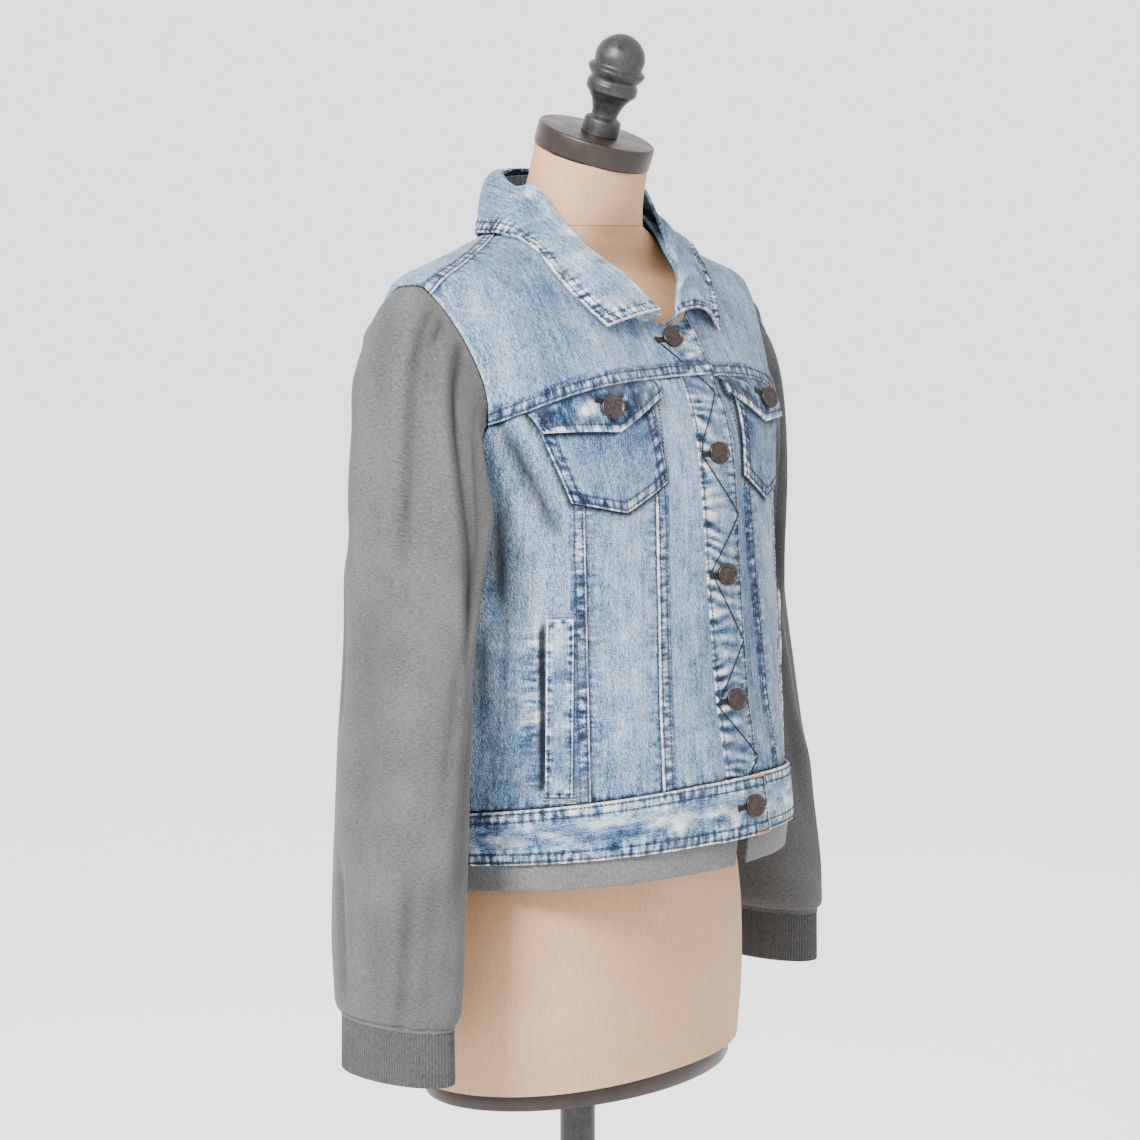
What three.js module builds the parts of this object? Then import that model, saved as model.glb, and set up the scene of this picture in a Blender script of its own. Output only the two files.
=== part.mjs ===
// Cropped denim jacket with jersey sleeves, worn on a limbless dress form.
// Millimetres, +Z up. The wearer faces -Y, so the wearer's right hand is on -X.
// The origin is the middle of the underside of the stand's base.
import * as THREE from 'three';

// Cloth and seams
const DENIM = 1.8;
const FOLDED_DENIM = 2.6;
const JERSEY = 1.6;
const RIB = 1.9;
const GAP = 0.3;
const HALF_GAP = GAP / 2;
const LAP = DENIM + 3 * GAP;
// Extra room under a piece that lies on another, because both are made of flat facets
const FACET_ROOM = 0.8;

// The form that the cloth makes round the body, as level rings.
// side is the half width, front and back the depths, round the exponent of the superellipse.
const BODY_RINGS = [
  { z: 920, side: 162, front: 153, back: 97, round: 2.15 },
  { z: 965, side: 165, front: 158, back: 98, round: 2.15 },
  { z: 1000, side: 165, front: 154, back: 98, round: 2.15 },
  { z: 1068, side: 167, front: 142, back: 99, round: 2.2 },
  { z: 1120, side: 170, front: 136.5, back: 102, round: 2.2 },
  { z: 1163, side: 171, front: 132.5, back: 106, round: 2.2 },
  { z: 1210, side: 172, front: 129, back: 109, round: 2.2 },
  { z: 1255, side: 176, front: 124, back: 110, round: 2.25 },
  { z: 1280, side: 181, front: 118, back: 109, round: 2.3 },
  { z: 1308, side: 187, front: 107, back: 106, round: 2.3 },
  { z: 1345, side: 192, front: 86, back: 94, round: 2.3 },
  { z: 1365, side: 193, front: 73, back: 80, round: 2.3 },
  { z: 1378, side: 191, front: 62, back: 67, round: 2.3 },
  { z: 1386, side: 179, front: 56, back: 61, round: 2.3 },
  { z: 1393, side: 157, front: 52, back: 58, round: 2.3 },
  { z: 1401, side: 131, front: 49, back: 56, round: 2.3 },
  { z: 1409, side: 107, front: 46, back: 54, round: 2.3 },
  { z: 1418, side: 83, front: 43, back: 52, round: 2.3 },
  { z: 1434, side: 70, front: 40, back: 50, round: 2.3 },
  { z: 1455, side: 62, front: 38, back: 48, round: 2.3 },
];

// Soft folds in the body cloth: each runs from one angle and height to another.
// Angles are in degrees from the centre front, positive to the wearer's left.
const FOLD_RADIUS = { body: 150, sleeve: 48 };
const BODY_FOLDS = [
  { from: -72, low: 1205, to: -67, high: 1262, wide: 9, rise: 2.2 },
  { from: -76, low: 1120, to: -70, high: 1215, wide: 12, rise: 3.2 },
  { from: -83, low: 1030, to: -76, high: 1105, wide: 12, rise: 2.6 },
  { from: -38, low: 1040, to: -30, high: 1150, wide: 14, rise: 1.6 },
  { from: 72, low: 1195, to: 68, high: 1255, wide: 9, rise: 2.2 },
  { from: 78, low: 1100, to: 71, high: 1205, wide: 12, rise: 3.0 },
  { from: 35, low: 1040, to: 30, high: 1140, wide: 14, rise: 1.7 },
  { from: 112, low: 1080, to: 122, high: 1215, wide: 15, rise: 3.4 },
  { from: -116, low: 1070, to: -125, high: 1220, wide: 15, rise: 3.6 },
  { from: 150, low: 1020, to: 158, high: 1130, wide: 17, rise: 2.6 },
  { from: -158, low: 1035, to: -150, high: 1160, wide: 17, rise: 2.8 },
];

// Seams of the body, as angles at the waistband and at the top
const SEAM_INNER = { low: 26.7, high: 24.5 };
const SEAM_OUTER = { low: 46.5, high: 49 };
const SIDE_SEAM = { low: 93, high: 91 };
const SEAM_BACK = { low: 142, high: 136 };

// Front opening: the right front laps over the left one
const PLACKET_INNER_X = -12;
const PLACKET_EDGE_X = 30;
const UNDER_EDGE_X = -14;
const UNDER_SEAM_X = 34;
const BUTTON_X = 8;
const TOP_BUTTON_X = -5;
const LAP_START_X = -42;
const LAP_SETTLE = 4;
const BAND_LAP_RUN = 26;
const PLACKET_Z = { low: 1010, high: 1305 };
const BAND_END_Z = 980;
const HEM_ENDS = { right: 12, left: -2, z: 940 };

// Yoke seams, armholes and shoulder seams
const YOKE_FRONT = { centre: 1309, drop: 30, half: 167, power: 3.2 };
const YOKE_BACK = { centre: 1300, drop: 12, half: 172, power: 2.2 };
const ARMHOLE_FRONT_X = 167;
const ARMHOLE_BACK_X = 172;
const ARMHOLE_LOW = { angle: 92, z: 1224, power: 2.1 };
// The panels are trimmed here, because their edge is made of straight facets
const ARMHOLE_TRIM = 2.0;
const RAY_Z = 1345;
const ARMHOLE_TOP = [
  { up: -70, x: 166 }, { up: -48, x: 167 }, { up: -15, x: 175 }, { up: 20, x: 182 }, { up: 60, x: 188 },
  { up: 95, x: 190 }, { up: 125, x: 188 }, { up: 165, x: 182 }, { up: 200, x: 176 }, { up: 230, x: 172 },
  { up: 250, x: 171 },
];
const ARM_SEAM_UP = { front: -52, back: 228, top: 88 };
const ARMHOLE_STEPS = 24;
const SHOULDER_SEAM = { neckAngle: 99, armUp: 56 };
const SEAM_UP_GAP = 0.28;
const FRONT_NECK_SHARE = 8 / 14;

// Waistband and hem band, as heights at the side seam plus a rise towards the front and back
const BAND_TOP = { side: 986, front: 22, back: -5 };
const BAND_LOW = { side: 948, front: 16, back: -3 };
const HEM_LOW = { side: 928, front: 14, back: -2 };
const HEM_HIDDEN = 12;
const WAISTBAND = 3.0;
const BAND_LIFT = JERSEY + GAP + FACET_ROOM;

// Neck seam heights by angle from the centre front
const NECK_SEAM = [
  { angle: 0, z: 1351 }, { angle: 20, z: 1357 }, { angle: 35, z: 1372 }, { angle: 50, z: 1392 },
  { angle: 65, z: 1407 }, { angle: 80, z: 1415 }, { angle: 100, z: 1420 }, { angle: 130, z: 1427 },
  { angle: 180, z: 1431 },
];

// Collar: the roll line and the outer edge of the leaf, for the wearer's left half
const ROLL_LINE = [
  { at: 0, x: 20, y: -98, z: 1366 }, { at: 0.12, x: 33, y: -78, z: 1381 }, { at: 0.25, x: 46, y: -52, z: 1401 },
  { at: 0.4, x: 60, y: -22, z: 1426 }, { at: 0.55, x: 64, y: 3, z: 1445 }, { at: 0.7, x: 55, y: 27, z: 1456 },
  { at: 0.85, x: 32, y: 45, z: 1462 }, { at: 1, x: 0, y: 52, z: 1464 },
];
const LEAF_EDGE = [
  { at: 0, x: 74, y: -91, z: 1347 }, { at: 0.12, x: 82, y: -73, z: 1364 }, { at: 0.25, x: 90, y: -52, z: 1384 },
  { at: 0.4, x: 95, y: -24, z: 1405 }, { at: 0.55, x: 94, y: 4, z: 1416 }, { at: 0.7, x: 80, y: 33, z: 1416 },
  { at: 0.85, x: 48, y: 55, z: 1411 }, { at: 1, x: 0, y: 63, z: 1409 },
];
// The left leaf's point is pulled in and down, faded out by this share of the collar's half
const LEFT_POINT = { x: -9, y: 3, z: -6, fade: 0.25 };
const LEAF_THICK = 2.6;
const LEAF_CROWN = 6;
const LEAF_ROLL = { start: 0.4, end: 0.35, out: 3 };
const NECK_FRONT_ANGLE = 14;
const STAND_THICK = 2.4;
const STAND_ROOM = 3.8;
const ROLL_ROOM = 2.4;

// Pockets, as angles and heights on the body
const CHEST_POCKET = {
  inner: 25, innerLow: 20.8, outerTop: 61, outerLow: 52, top: 1299, topOuter: 1287, low: 1234, outerBottom: 1222,
  point: 1213, pointAngle: 36,
};
const FLAP = {
  inner: 20, outer: 63, innerTop: 1304.5, outerTop: 1288.5, innerDeep: 9, outerDeep: 15, pointDeep: 28,
  pointAt: 0.47, buttonAt: 0.52, room: 0.5, stand: 1.2, curve: 1.6,
};
const FLAP_THICK = 2.2;
const WELT = { inner: 51.4, outer: 58.2, top: 1137, low: 1006 };

// Sleeves: centre lines and half axes from under the arm down to the rib
const SLEEVE_RIGHT = [
  { z: 1196, x: -210, y: -22, halfX: 31, halfY: 62 }, { z: 1120, x: -214, y: -21, halfX: 32, halfY: 60 },
  { z: 1040, x: -223, y: -22, halfX: 32.5, halfY: 58 }, { z: 960, x: -227, y: -22, halfX: 31, halfY: 57.5 },
  { z: 890, x: -230, y: -22, halfX: 29.5, halfY: 56.5 }, { z: 858, x: -231, y: -22, halfX: 29.3, halfY: 55.5 },
  { z: 851, x: -231.5, y: -22, halfX: 27.3, halfY: 53.5 }, { z: 848.5, x: -231.5, y: -22, halfX: 23.6, halfY: 50.6 },
  { z: 844.5, x: -231.5, y: -22, halfX: 23.5, halfY: 50.5 },
];
const SLEEVE_LEFT = [
  { z: 1196, x: 207, y: 22, halfX: 28, halfY: 62 }, { z: 1120, x: 210, y: 17, halfX: 30, halfY: 60 },
  { z: 1040, x: 216, y: 6, halfX: 31, halfY: 57 }, { z: 960, x: 222, y: -6, halfX: 30, halfY: 55 },
  { z: 895, x: 225, y: -15, halfX: 28.5, halfY: 54 }, { z: 866, x: 226, y: -18, halfX: 28.3, halfY: 53.3 },
  { z: 859, x: 226.5, y: -19, halfX: 26.3, halfY: 51.3 }, { z: 856.5, x: 226.5, y: -19, halfX: 22.6, halfY: 48.6 },
  { z: 852.5, x: 226.5, y: -19, halfX: 22.5, halfY: 48.5 },
];
// How the sleeve head leaves the armhole: its slope under the arm and how much that rises at the top
const HEAD_SLOPE = { under: -0.12, rise: -0.25 };
const HEAD_REACH = 0.45;
const HEAD_OUT = 0.8;
const HEAD_MOST = 32;
const ARMHOLE_ROOM = 1.3;
const HOLE_MIDDLE = { x: 178, y: 2, z: 1300 };
const HEAD_MIDDLE = { x: 190, z: 1290, low: 1200 };
// Shares of the sleeve's rows for its head and its length; the rest is where it bags over the rib
const SLEEVE_STEPS = { rows: 20, headShare: 0.4, bodyShare: 0.8 };
const BLOUSE_START = 24;
const CUFF_DEEP = 40;
const CUFF_FLARE = 0.5;

// Folds in the sleeves: around is in degrees from the outer side, positive towards the front
const SLEEVE_FOLDS = [
  { from: 40, high: 1362, to: 62, low: 1180, wide: 9, rise: 3.4 },
  { from: 20, high: 1372, to: 30, low: 1290, wide: 8, rise: 3.0 },
  { from: 100, high: 1285, to: 96, low: 1130, wide: 12, rise: 3.2 },
  { from: 70, high: 1010, to: 58, low: 872, wide: 10, rise: 3.0 },
  { from: -40, high: 1340, to: -60, low: 1160, wide: 12, rise: 3.0 },
  { from: -85, high: 1020, to: -70, low: 880, wide: 12, rise: 2.8 },
];

// Dress form and its stand
const FORM_RINGS = [
  { z: 772, side: 158, front: 98, back: 99, round: 2.2 },
  { z: 820, side: 162, front: 101, back: 104, round: 2.2 },
  { z: 880, side: 158, front: 103, back: 100, round: 2.2 },
  { z: 940, side: 147, front: 102, back: 86, round: 2.15 },
  { z: 1000, side: 130, front: 98, back: 76, round: 2.1 },
  { z: 1070, side: 117, front: 93, back: 72, round: 2.1 },
  { z: 1130, side: 124, front: 99, back: 80, round: 2.1 },
  { z: 1190, side: 142, front: 113, back: 92, round: 2.15 },
  { z: 1240, side: 150, front: 114, back: 98, round: 2.2 },
  { z: 1290, side: 158, front: 99, back: 96, round: 2.25 },
  { z: 1340, side: 168, front: 72, back: 80, round: 2.25 },
  { z: 1362, side: 172, front: 56, back: 62, round: 2.2 },
  { z: 1376, side: 171, front: 44, back: 48, round: 2.1 },
  { z: 1385.2, side: 162, front: 37, back: 42, round: 2.0 },
  { z: 1392.1, side: 149, front: 34, back: 40, round: 2.0 },
  { z: 1400.1, side: 127, front: 34, back: 41, round: 2.0 },
  { z: 1408.1, side: 104, front: 36, back: 43, round: 2.0 },
  { z: 1416.9, side: 80, front: 38, back: 44, round: 2.0 },
  { z: 1424, side: 61, front: 42, back: 44, round: 2.0 },
];
const NECK_RINGS = [
  { up: 0, side: 57, front: 46, back: 42, y: 0 },
  { up: 12, side: 51, front: 45, back: 41, y: -2 },
  { up: 34, side: 48, front: 44, back: 42, y: -8 },
  { up: 56, side: 47, front: 44, back: 43, y: -13 },
];
const NECK_START = 1424.3;
const CAP = { radius: 46, thick: 18, tilt: 20, y: -19.5, z: 1495, edge: 2 };
const FINIAL_FORWARD = 2;
const FINIAL = [
  { up: 0, radius: 14.5 }, { up: 11, radius: 14.2 }, { up: 14.5, radius: 10 }, { up: 24, radius: 12.5 },
  { up: 31, radius: 17 }, { up: 34.5, radius: 19.8 }, { up: 39, radius: 19.8 }, { up: 42.5, radius: 18 },
  { up: 47, radius: 21 }, { up: 50.5, radius: 22.4 }, { up: 54.5, radius: 18.7 }, { up: 60, radius: 19.4 },
  { up: 67, radius: 17.6 }, { up: 73, radius: 13 }, { up: 77, radius: 6.5 }, { up: 78.5, radius: 0 },
];
const HIP_PLATE = { radiusX: 150, radiusY: 96, thick: 14, y: -2 };
const POLE_RADIUS = 14;
const COLLAR_RING = { radius: 26, high: 22 };
const BASE = { radius: 190, rim: 8, middle: 16, hub: 30, hubHigh: 34 };

// Buttons
const BUTTON_HEIGHTS = [1336, 1252, 1161, 1066, 986];
const BUTTON = { radius: 8.8, high: 5.6, shank: 3.2 };
const BUTTON_GAP = 0.4;

const SEAM_ANGLE = (HALF_GAP / FOLD_RADIUS.body) * (180 / Math.PI);
const group = new THREE.Group();

function material(color, roughness, metalness) {
  return new THREE.MeshStandardMaterial({ color, roughness, metalness });
}
const denim = () => material(0x9fb3c6, 0.9, 0);
const jersey = () => material(0x9b9b9b, 0.95, 0);
const linen = () => material(0xd2b79c, 0.9, 0);
const bronze = () => material(0x4c413a, 0.4, 0.8);
const iron = () => material(0x5a5c5e, 0.55, 0.7);

// Monotone cubic reading of a table of rows by one of its columns
function readTable(rows, key, at) {
  const last = rows.length - 1;
  const x = Math.min(Math.max(at, rows[0][key]), rows[last][key]);
  let i = 0;
  while (i < last - 1 && rows[i + 1][key] < x) i += 1;
  const step = rows[i + 1][key] - rows[i][key];
  const t = (x - rows[i][key]) / step;
  const slope = (j, name) => {
    const before = j > 0 ? (rows[j][name] - rows[j - 1][name]) / (rows[j][key] - rows[j - 1][key]) : null;
    const after = j < last ? (rows[j + 1][name] - rows[j][name]) / (rows[j + 1][key] - rows[j][key]) : null;
    if (before === null) return after;
    if (after === null) return before;
    return before * after <= 0 ? 0 : (2 * before * after) / (before + after);
  };
  const result = {};
  for (const name of Object.keys(rows[0])) {
    const a = rows[i][name];
    const b = rows[i + 1][name];
    const t2 = t * t;
    const t3 = t2 * t;
    result[name] = (2 * t3 - 3 * t2 + 1) * a + (t3 - 2 * t2 + t) * step * slope(i, name)
      + (3 * t2 - 2 * t3) * b + (t3 - t2) * step * slope(i + 1, name);
  }
  return result;
}

const radians = (degrees) => (degrees * Math.PI) / 180;
const degrees = (angle) => (angle * 180) / Math.PI;
const mix = (a, b, t) => a + (b - a) * t;
const smooth = (t) => {
  const k = Math.min(Math.max(t, 0), 1);
  return k * k * (3 - 2 * k);
};

// A point on a level ring at an angle from the centre front
function ringPoint(rows, angle, z) {
  const ring = readTable(rows, 'z', z);
  const s = Math.sin(radians(angle));
  const c = Math.cos(radians(angle));
  const depth = c >= 0 ? ring.front : ring.back;
  const sum = (Math.abs(s) / ring.side) ** ring.round + (Math.abs(c) / depth) ** ring.round;
  const reach = sum ** (-1 / ring.round);
  return new THREE.Vector3(reach * s, -reach * c, z);
}

const wrap = (angle) => ((((angle + 180) % 360) + 360) % 360) - 180;

// How far the folds lift the body cloth at an angle and height
function bodyFold(angle, z) {
  let lift = 0;
  for (const fold of BODY_FOLDS) {
    const t = (z - fold.low) / (fold.high - fold.low);
    const along = smooth((t + 0.35) / 0.5) * smooth((1.35 - t) / 0.5);
    const away = wrap(angle - mix(fold.from, fold.to, t)) * radians(1) * FOLD_RADIUS.body;
    lift += fold.rise * along * Math.exp(-((away / fold.wide) ** 2));
  }
  return lift;
}

function bodyPoint(angle, z) {
  const point = ringPoint(BODY_RINGS, angle, z);
  const reach = Math.hypot(point.x, point.y);
  const scale = 1 + bodyFold(angle, z) / reach;
  return new THREE.Vector3(point.x * scale, point.y * scale, z);
}

// The shoulders are read by rays from a level line at RAY_Z: up is 0 to the front and 90 upwards
function bodyLevel(x, y, z) {
  const ring = readTable(BODY_RINGS, 'z', z);
  const depth = y <= 0 ? ring.front : ring.back;
  return (Math.abs(x) / ring.side) ** ring.round + (Math.abs(y) / depth) ** ring.round - 1;
}
function shoulderPoint(x, up) {
  const dy = -Math.cos(radians(up));
  const dz = Math.sin(radians(up));
  let low = 0;
  let high = 200;
  for (let i = 0; i < 40; i += 1) {
    const middle = (low + high) / 2;
    if (bodyLevel(x, dy * middle, RAY_Z + dz * middle) < 0) low = middle;
    else high = middle;
  }
  return new THREE.Vector3(x, dy * low, RAY_Z + dz * low);
}

// Heights of the long seams
const yokeSeam = (rule, x) => rule.centre - rule.drop * (Math.abs(x) / rule.half) ** rule.power;
function seamHeight(rule, angle) {
  let z = rule.centre;
  for (let i = 0; i < 5; i += 1) z = yokeSeam(rule, ringPoint(BODY_RINGS, angle, z).x);
  return z;
}
const bandHeight = (rule, angle) => {
  const c = Math.cos(radians(angle));
  return rule.side + (c > 0 ? rule.front * c : -rule.back * c);
};

// The angle at which a yoke seam reaches the armhole, counted from the centre front or back
function meetAngle(rule, reach, start) {
  let low = 30;
  let high = 90;
  for (let i = 0; i < 40; i += 1) {
    const middle = (low + high) / 2;
    const angle = Math.abs(start - middle);
    if (ringPoint(BODY_RINGS, angle, seamHeight(rule, angle)).x > reach) high = middle;
    else low = middle;
  }
  return Math.abs(start - low);
}
const FRONT_MEET = meetAngle(YOKE_FRONT, ARMHOLE_FRONT_X, 0);
const BACK_MEET = meetAngle(YOKE_BACK, ARMHOLE_BACK_X, 180);

// Top edge of the lower panels: the yoke seams, and the low part of the armhole between them
function lowerTop(angle) {
  const away = Math.abs(wrap(angle));
  if (away <= FRONT_MEET) return seamHeight(YOKE_FRONT, away);
  if (away >= BACK_MEET) return seamHeight(YOKE_BACK, away);
  const front = away < ARMHOLE_LOW.angle;
  const meet = front ? FRONT_MEET : BACK_MEET;
  const top = seamHeight(front ? YOKE_FRONT : YOKE_BACK, meet);
  const t = Math.abs((away - ARMHOLE_LOW.angle) / (meet - ARMHOLE_LOW.angle));
  return ARMHOLE_LOW.z - ARMHOLE_TRIM * (1 - t ** 8) + (top - ARMHOLE_LOW.z) * t ** ARMHOLE_LOW.power;
}

// Closed wall over a grid of places. place(s, t) gives a point; lift(s, t) and thick(s, t) are in mm.
function wallGeometry(columns, rows, place, lift, thick, centre, around = false) {
  const outer = [];
  const inner = [];
  const small = 1e-3;
  for (let j = 0; j <= rows; j += 1) {
    for (let i = 0; i <= columns; i += 1) {
      const s = i / columns;
      const t = j / rows;
      const p = place(s, t);
      const s0 = around ? s - small : Math.max(s - small, 0);
      const s1 = around ? s + small : Math.min(s + small, 1);
      const alongS = place(s1, t).sub(place(s0, t));
      const alongT = place(s, Math.min(t + small, 1)).sub(place(s, Math.max(t - small, 0)));
      const normal = alongS.cross(alongT).normalize();
      if (normal.dot(p.clone().sub(centre(p))) < 0) normal.negate();
      const base = lift(s, t);
      outer.push(p.clone().addScaledVector(normal, base + thick(s, t)));
      inner.push(p.clone().addScaledVector(normal, base));
    }
  }
  const wide = columns + 1;
  const count = outer.length;
  const positions = [...outer, ...inner].flatMap((p) => [p.x, p.y, p.z]);
  const faces = [];
  const index = (i, j) => j * wide + (around && i === columns ? 0 : i);
  const quad = (a, b, c, d) => faces.push(a, b, c, a, c, d);
  for (let j = 0; j < rows; j += 1) {
    for (let i = 0; i < columns; i += 1) {
      quad(index(i, j), index(i + 1, j), index(i + 1, j + 1), index(i, j + 1));
      quad(count + index(i, j), count + index(i, j + 1), count + index(i + 1, j + 1), count + index(i + 1, j));
    }
  }
  for (let i = 0; i < columns; i += 1) {
    quad(index(i, 0), count + index(i, 0), count + index(i + 1, 0), index(i + 1, 0));
    quad(index(i, rows), index(i + 1, rows), count + index(i + 1, rows), count + index(i, rows));
  }
  if (!around) {
    for (let j = 0; j < rows; j += 1) {
      quad(index(0, j), index(0, j + 1), count + index(0, j + 1), count + index(0, j));
      quad(index(columns, j), count + index(columns, j), count + index(columns, j + 1), index(columns, j + 1));
    }
  }
  return closedGeometry(positions, faces);
}

// Geometry from points and faces, without unused points and with its faces pointing out
function closedGeometry(positions, faces) {
  const used = new Map();
  const points = [];
  const order = faces.map((f) => {
    if (!used.has(f)) {
      used.set(f, points.length / 3);
      points.push(positions[3 * f], positions[3 * f + 1], positions[3 * f + 2]);
    }
    return used.get(f);
  });
  const corner = (f) => new THREE.Vector3(points[3 * f], points[3 * f + 1], points[3 * f + 2]);
  let volume = 0;
  for (let i = 0; i < order.length; i += 3) {
    volume += corner(order[i]).dot(corner(order[i + 1]).cross(corner(order[i + 2])));
  }
  if (volume < 0) {
    for (let i = 0; i < order.length; i += 3) [order[i + 1], order[i + 2]] = [order[i + 2], order[i + 1]];
  }
  const geometry = new THREE.BufferGeometry();
  geometry.setAttribute('position', new THREE.Float32BufferAttribute(points, 3));
  geometry.setIndex(order);
  geometry.computeVertexNormals();
  return geometry;
}

function add(name, geometry, surface, position = null) {
  const mesh = new THREE.Mesh(geometry, surface);
  mesh.name = name;
  if (position) mesh.position.copy(position);
  group.add(mesh);
  return mesh;
}

const bodyAxis = (p) => new THREE.Vector3(0, 0, Math.min(p.z, 1300));
const flat = (value) => () => value;

// A lower body panel between two seams, each given as low and high angles
function panelPlace(left, right) {
  return (s, t) => {
    const a = mix(left.low, left.high, t) + SEAM_ANGLE;
    const b = mix(right.low, right.high, t) - SEAM_ANGLE;
    const angle = mix(a, b, s);
    return bodyPoint(angle, mix(bandHeight(BAND_TOP, angle) + HALF_GAP, lowerTop(angle) - HALF_GAP, t));
  };
}
const mirrorSeam = (seam) => ({ low: -seam.low, high: -seam.high });
const angleOfX = (x, z) => {
  const front = ringPoint(BODY_RINGS, 0, z).y;
  return degrees(Math.atan2(x, -front));
};
const seamAtX = (x) => ({ low: angleOfX(x, PLACKET_Z.low), high: angleOfX(x, PLACKET_Z.high) });

// The right front rises over the left one towards its edge
const lapLift = (x) => LAP * smooth((x - LAP_START_X) / (PLACKET_INNER_X - LAP_SETTLE - LAP_START_X));
const placeLap = (place) => (s, t) => lapLift(place(s, t).x);

function addLowerPanels() {
  const rows = 13;
  const right = mirrorSeam;
  const place = panelPlace(right(SEAM_INNER), seamAtX(PLACKET_INNER_X));
  add('front_centre_right', wallGeometry(6, rows, place, placeLap(place), flat(DENIM), bodyAxis), denim());
  const band = panelPlace(seamAtX(PLACKET_INNER_X), seamAtX(PLACKET_EDGE_X));
  add('placket_right', wallGeometry(3, rows, band, flat(LAP), flat(FOLDED_DENIM), bodyAxis), denim());
  const under = panelPlace(seamAtX(UNDER_EDGE_X), seamAtX(UNDER_SEAM_X));
  add('placket_left', wallGeometry(3, rows, under, flat(0), flat(DENIM), bodyAxis), denim());
  const centreLeft = panelPlace(seamAtX(UNDER_SEAM_X), SEAM_INNER);
  add('front_centre_left', wallGeometry(3, rows, centreLeft, flat(0), flat(DENIM), bodyAxis), denim());
  const panels = [
    { name: 'front_middle', inner: SEAM_INNER, outer: SEAM_OUTER, columns: 4 },
    { name: 'front_side', inner: SEAM_OUTER, outer: SIDE_SEAM, columns: 8 },
    { name: 'back_side', inner: SIDE_SEAM, outer: SEAM_BACK, columns: 8 },
  ];
  for (const panel of panels) {
    const left = panelPlace(panel.inner, panel.outer);
    const mirrored = panelPlace(mirrorSeam(panel.outer), mirrorSeam(panel.inner));
    add(`${panel.name}_left`, wallGeometry(panel.columns, rows, left, flat(0), flat(DENIM), bodyAxis), denim());
    add(`${panel.name}_right`, wallGeometry(panel.columns, rows, mirrored, flat(0), flat(DENIM), bodyAxis), denim());
  }
  const back = panelPlace(SEAM_BACK, { low: 360 - SEAM_BACK.low, high: 360 - SEAM_BACK.high });
  add('back_centre', wallGeometry(10, rows, back, flat(0), flat(DENIM), bodyAxis), denim());
}

// Waistband in three lengths, and the jersey band that hangs out below it
function bandPlace(from, to, low, high) {
  return (s, t) => {
    const angle = mix(from, to, s);
    return bodyPoint(angle, mix(low(angle), high(angle), t));
  };
}
function addBands() {
  const low = (angle) => bandHeight(BAND_LOW, angle);
  const high = (angle) => bandHeight(BAND_TOP, angle) - HALF_GAP;
  const edge = angleOfX(PLACKET_EDGE_X, BAND_END_Z);
  const under = angleOfX(UNDER_EDGE_X, BAND_END_Z);
  const side = SIDE_SEAM.low;
  const right = bandPlace(-side + SEAM_ANGLE, edge, low, high);
  const bandLap = WAISTBAND + GAP + FACET_ROOM;
  const liftRight = (s, t) => BAND_LIFT + bandLap * smooth((right(s, t).x - LAP_START_X) / BAND_LAP_RUN);
  add('waistband_right', wallGeometry(20, 2, right, liftRight, flat(WAISTBAND), bodyAxis), denim());
  const left = bandPlace(under, side - SEAM_ANGLE, low, high);
  add('waistband_left', wallGeometry(18, 2, left, flat(BAND_LIFT), flat(WAISTBAND), bodyAxis), denim());
  const back = bandPlace(side + SEAM_ANGLE, 360 - side - SEAM_ANGLE, low, high);
  add('waistband_back', wallGeometry(26, 2, back, flat(BAND_LIFT), flat(WAISTBAND), bodyAxis), denim());

  const hemLow = (angle) => bandHeight(HEM_LOW, angle);
  const hemHigh = (angle) => bandHeight(BAND_LOW, angle) + HEM_HIDDEN;
  const hemStart = angleOfX(HEM_ENDS.right, HEM_ENDS.z);
  const hemEnd = 360 + angleOfX(HEM_ENDS.left, HEM_ENDS.z);
  const hem = bandPlace(hemStart, hemEnd, hemLow, hemHigh);
  add('hem_band', wallGeometry(52, 2, hem, flat(0), flat(JERSEY), bodyAxis), jersey());
}

// Yokes, by rays over the shoulder
const armholeX = (up) => readTable(ARMHOLE_TOP, 'up', up).x - HALF_GAP;
function upOf(point) {
  const angle = degrees(Math.atan2(point.z - RAY_Z, -point.y));
  return angle < -100 ? angle + 360 : angle;
}
function yokeLowUp(rule, x, back) {
  const z = yokeSeam(rule, x) + HALF_GAP;
  const ring = readTable(BODY_RINGS, 'z', z);
  const depth = back ? ring.back : ring.front;
  const y = depth * Math.max(1 - (Math.abs(x) / ring.side) ** ring.round, 0) ** (1 / ring.round);
  return upOf(new THREE.Vector3(x, back ? y : -y, z));
}
const neckSeamPoint = (angle) => ringPoint(BODY_RINGS, angle, readTable(NECK_SEAM, 'angle', Math.abs(angle)).z);
// The shoulder seam runs from the neck seam to the armhole, a little in front of the ridge
const SHOULDER_NECK = neckSeamPoint(SHOULDER_SEAM.neckAngle);
function shoulderSeam(share) {
  const x = mix(SHOULDER_NECK.x, armholeX(SHOULDER_SEAM.armUp), share);
  return { x, up: mix(upOf(SHOULDER_NECK), SHOULDER_SEAM.armUp, share) };
}
// Top edge of a yoke: along the neck seam from an angle, then along the shoulder seam
function yokeTop(share, neckShare, startAngle) {
  if (share >= neckShare) return shoulderSeam((share - neckShare) / (1 - neckShare));
  const point = neckSeamPoint(mix(startAngle, SHOULDER_SEAM.neckAngle, share / neckShare));
  return { x: point.x, up: upOf(point) };
}

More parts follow.
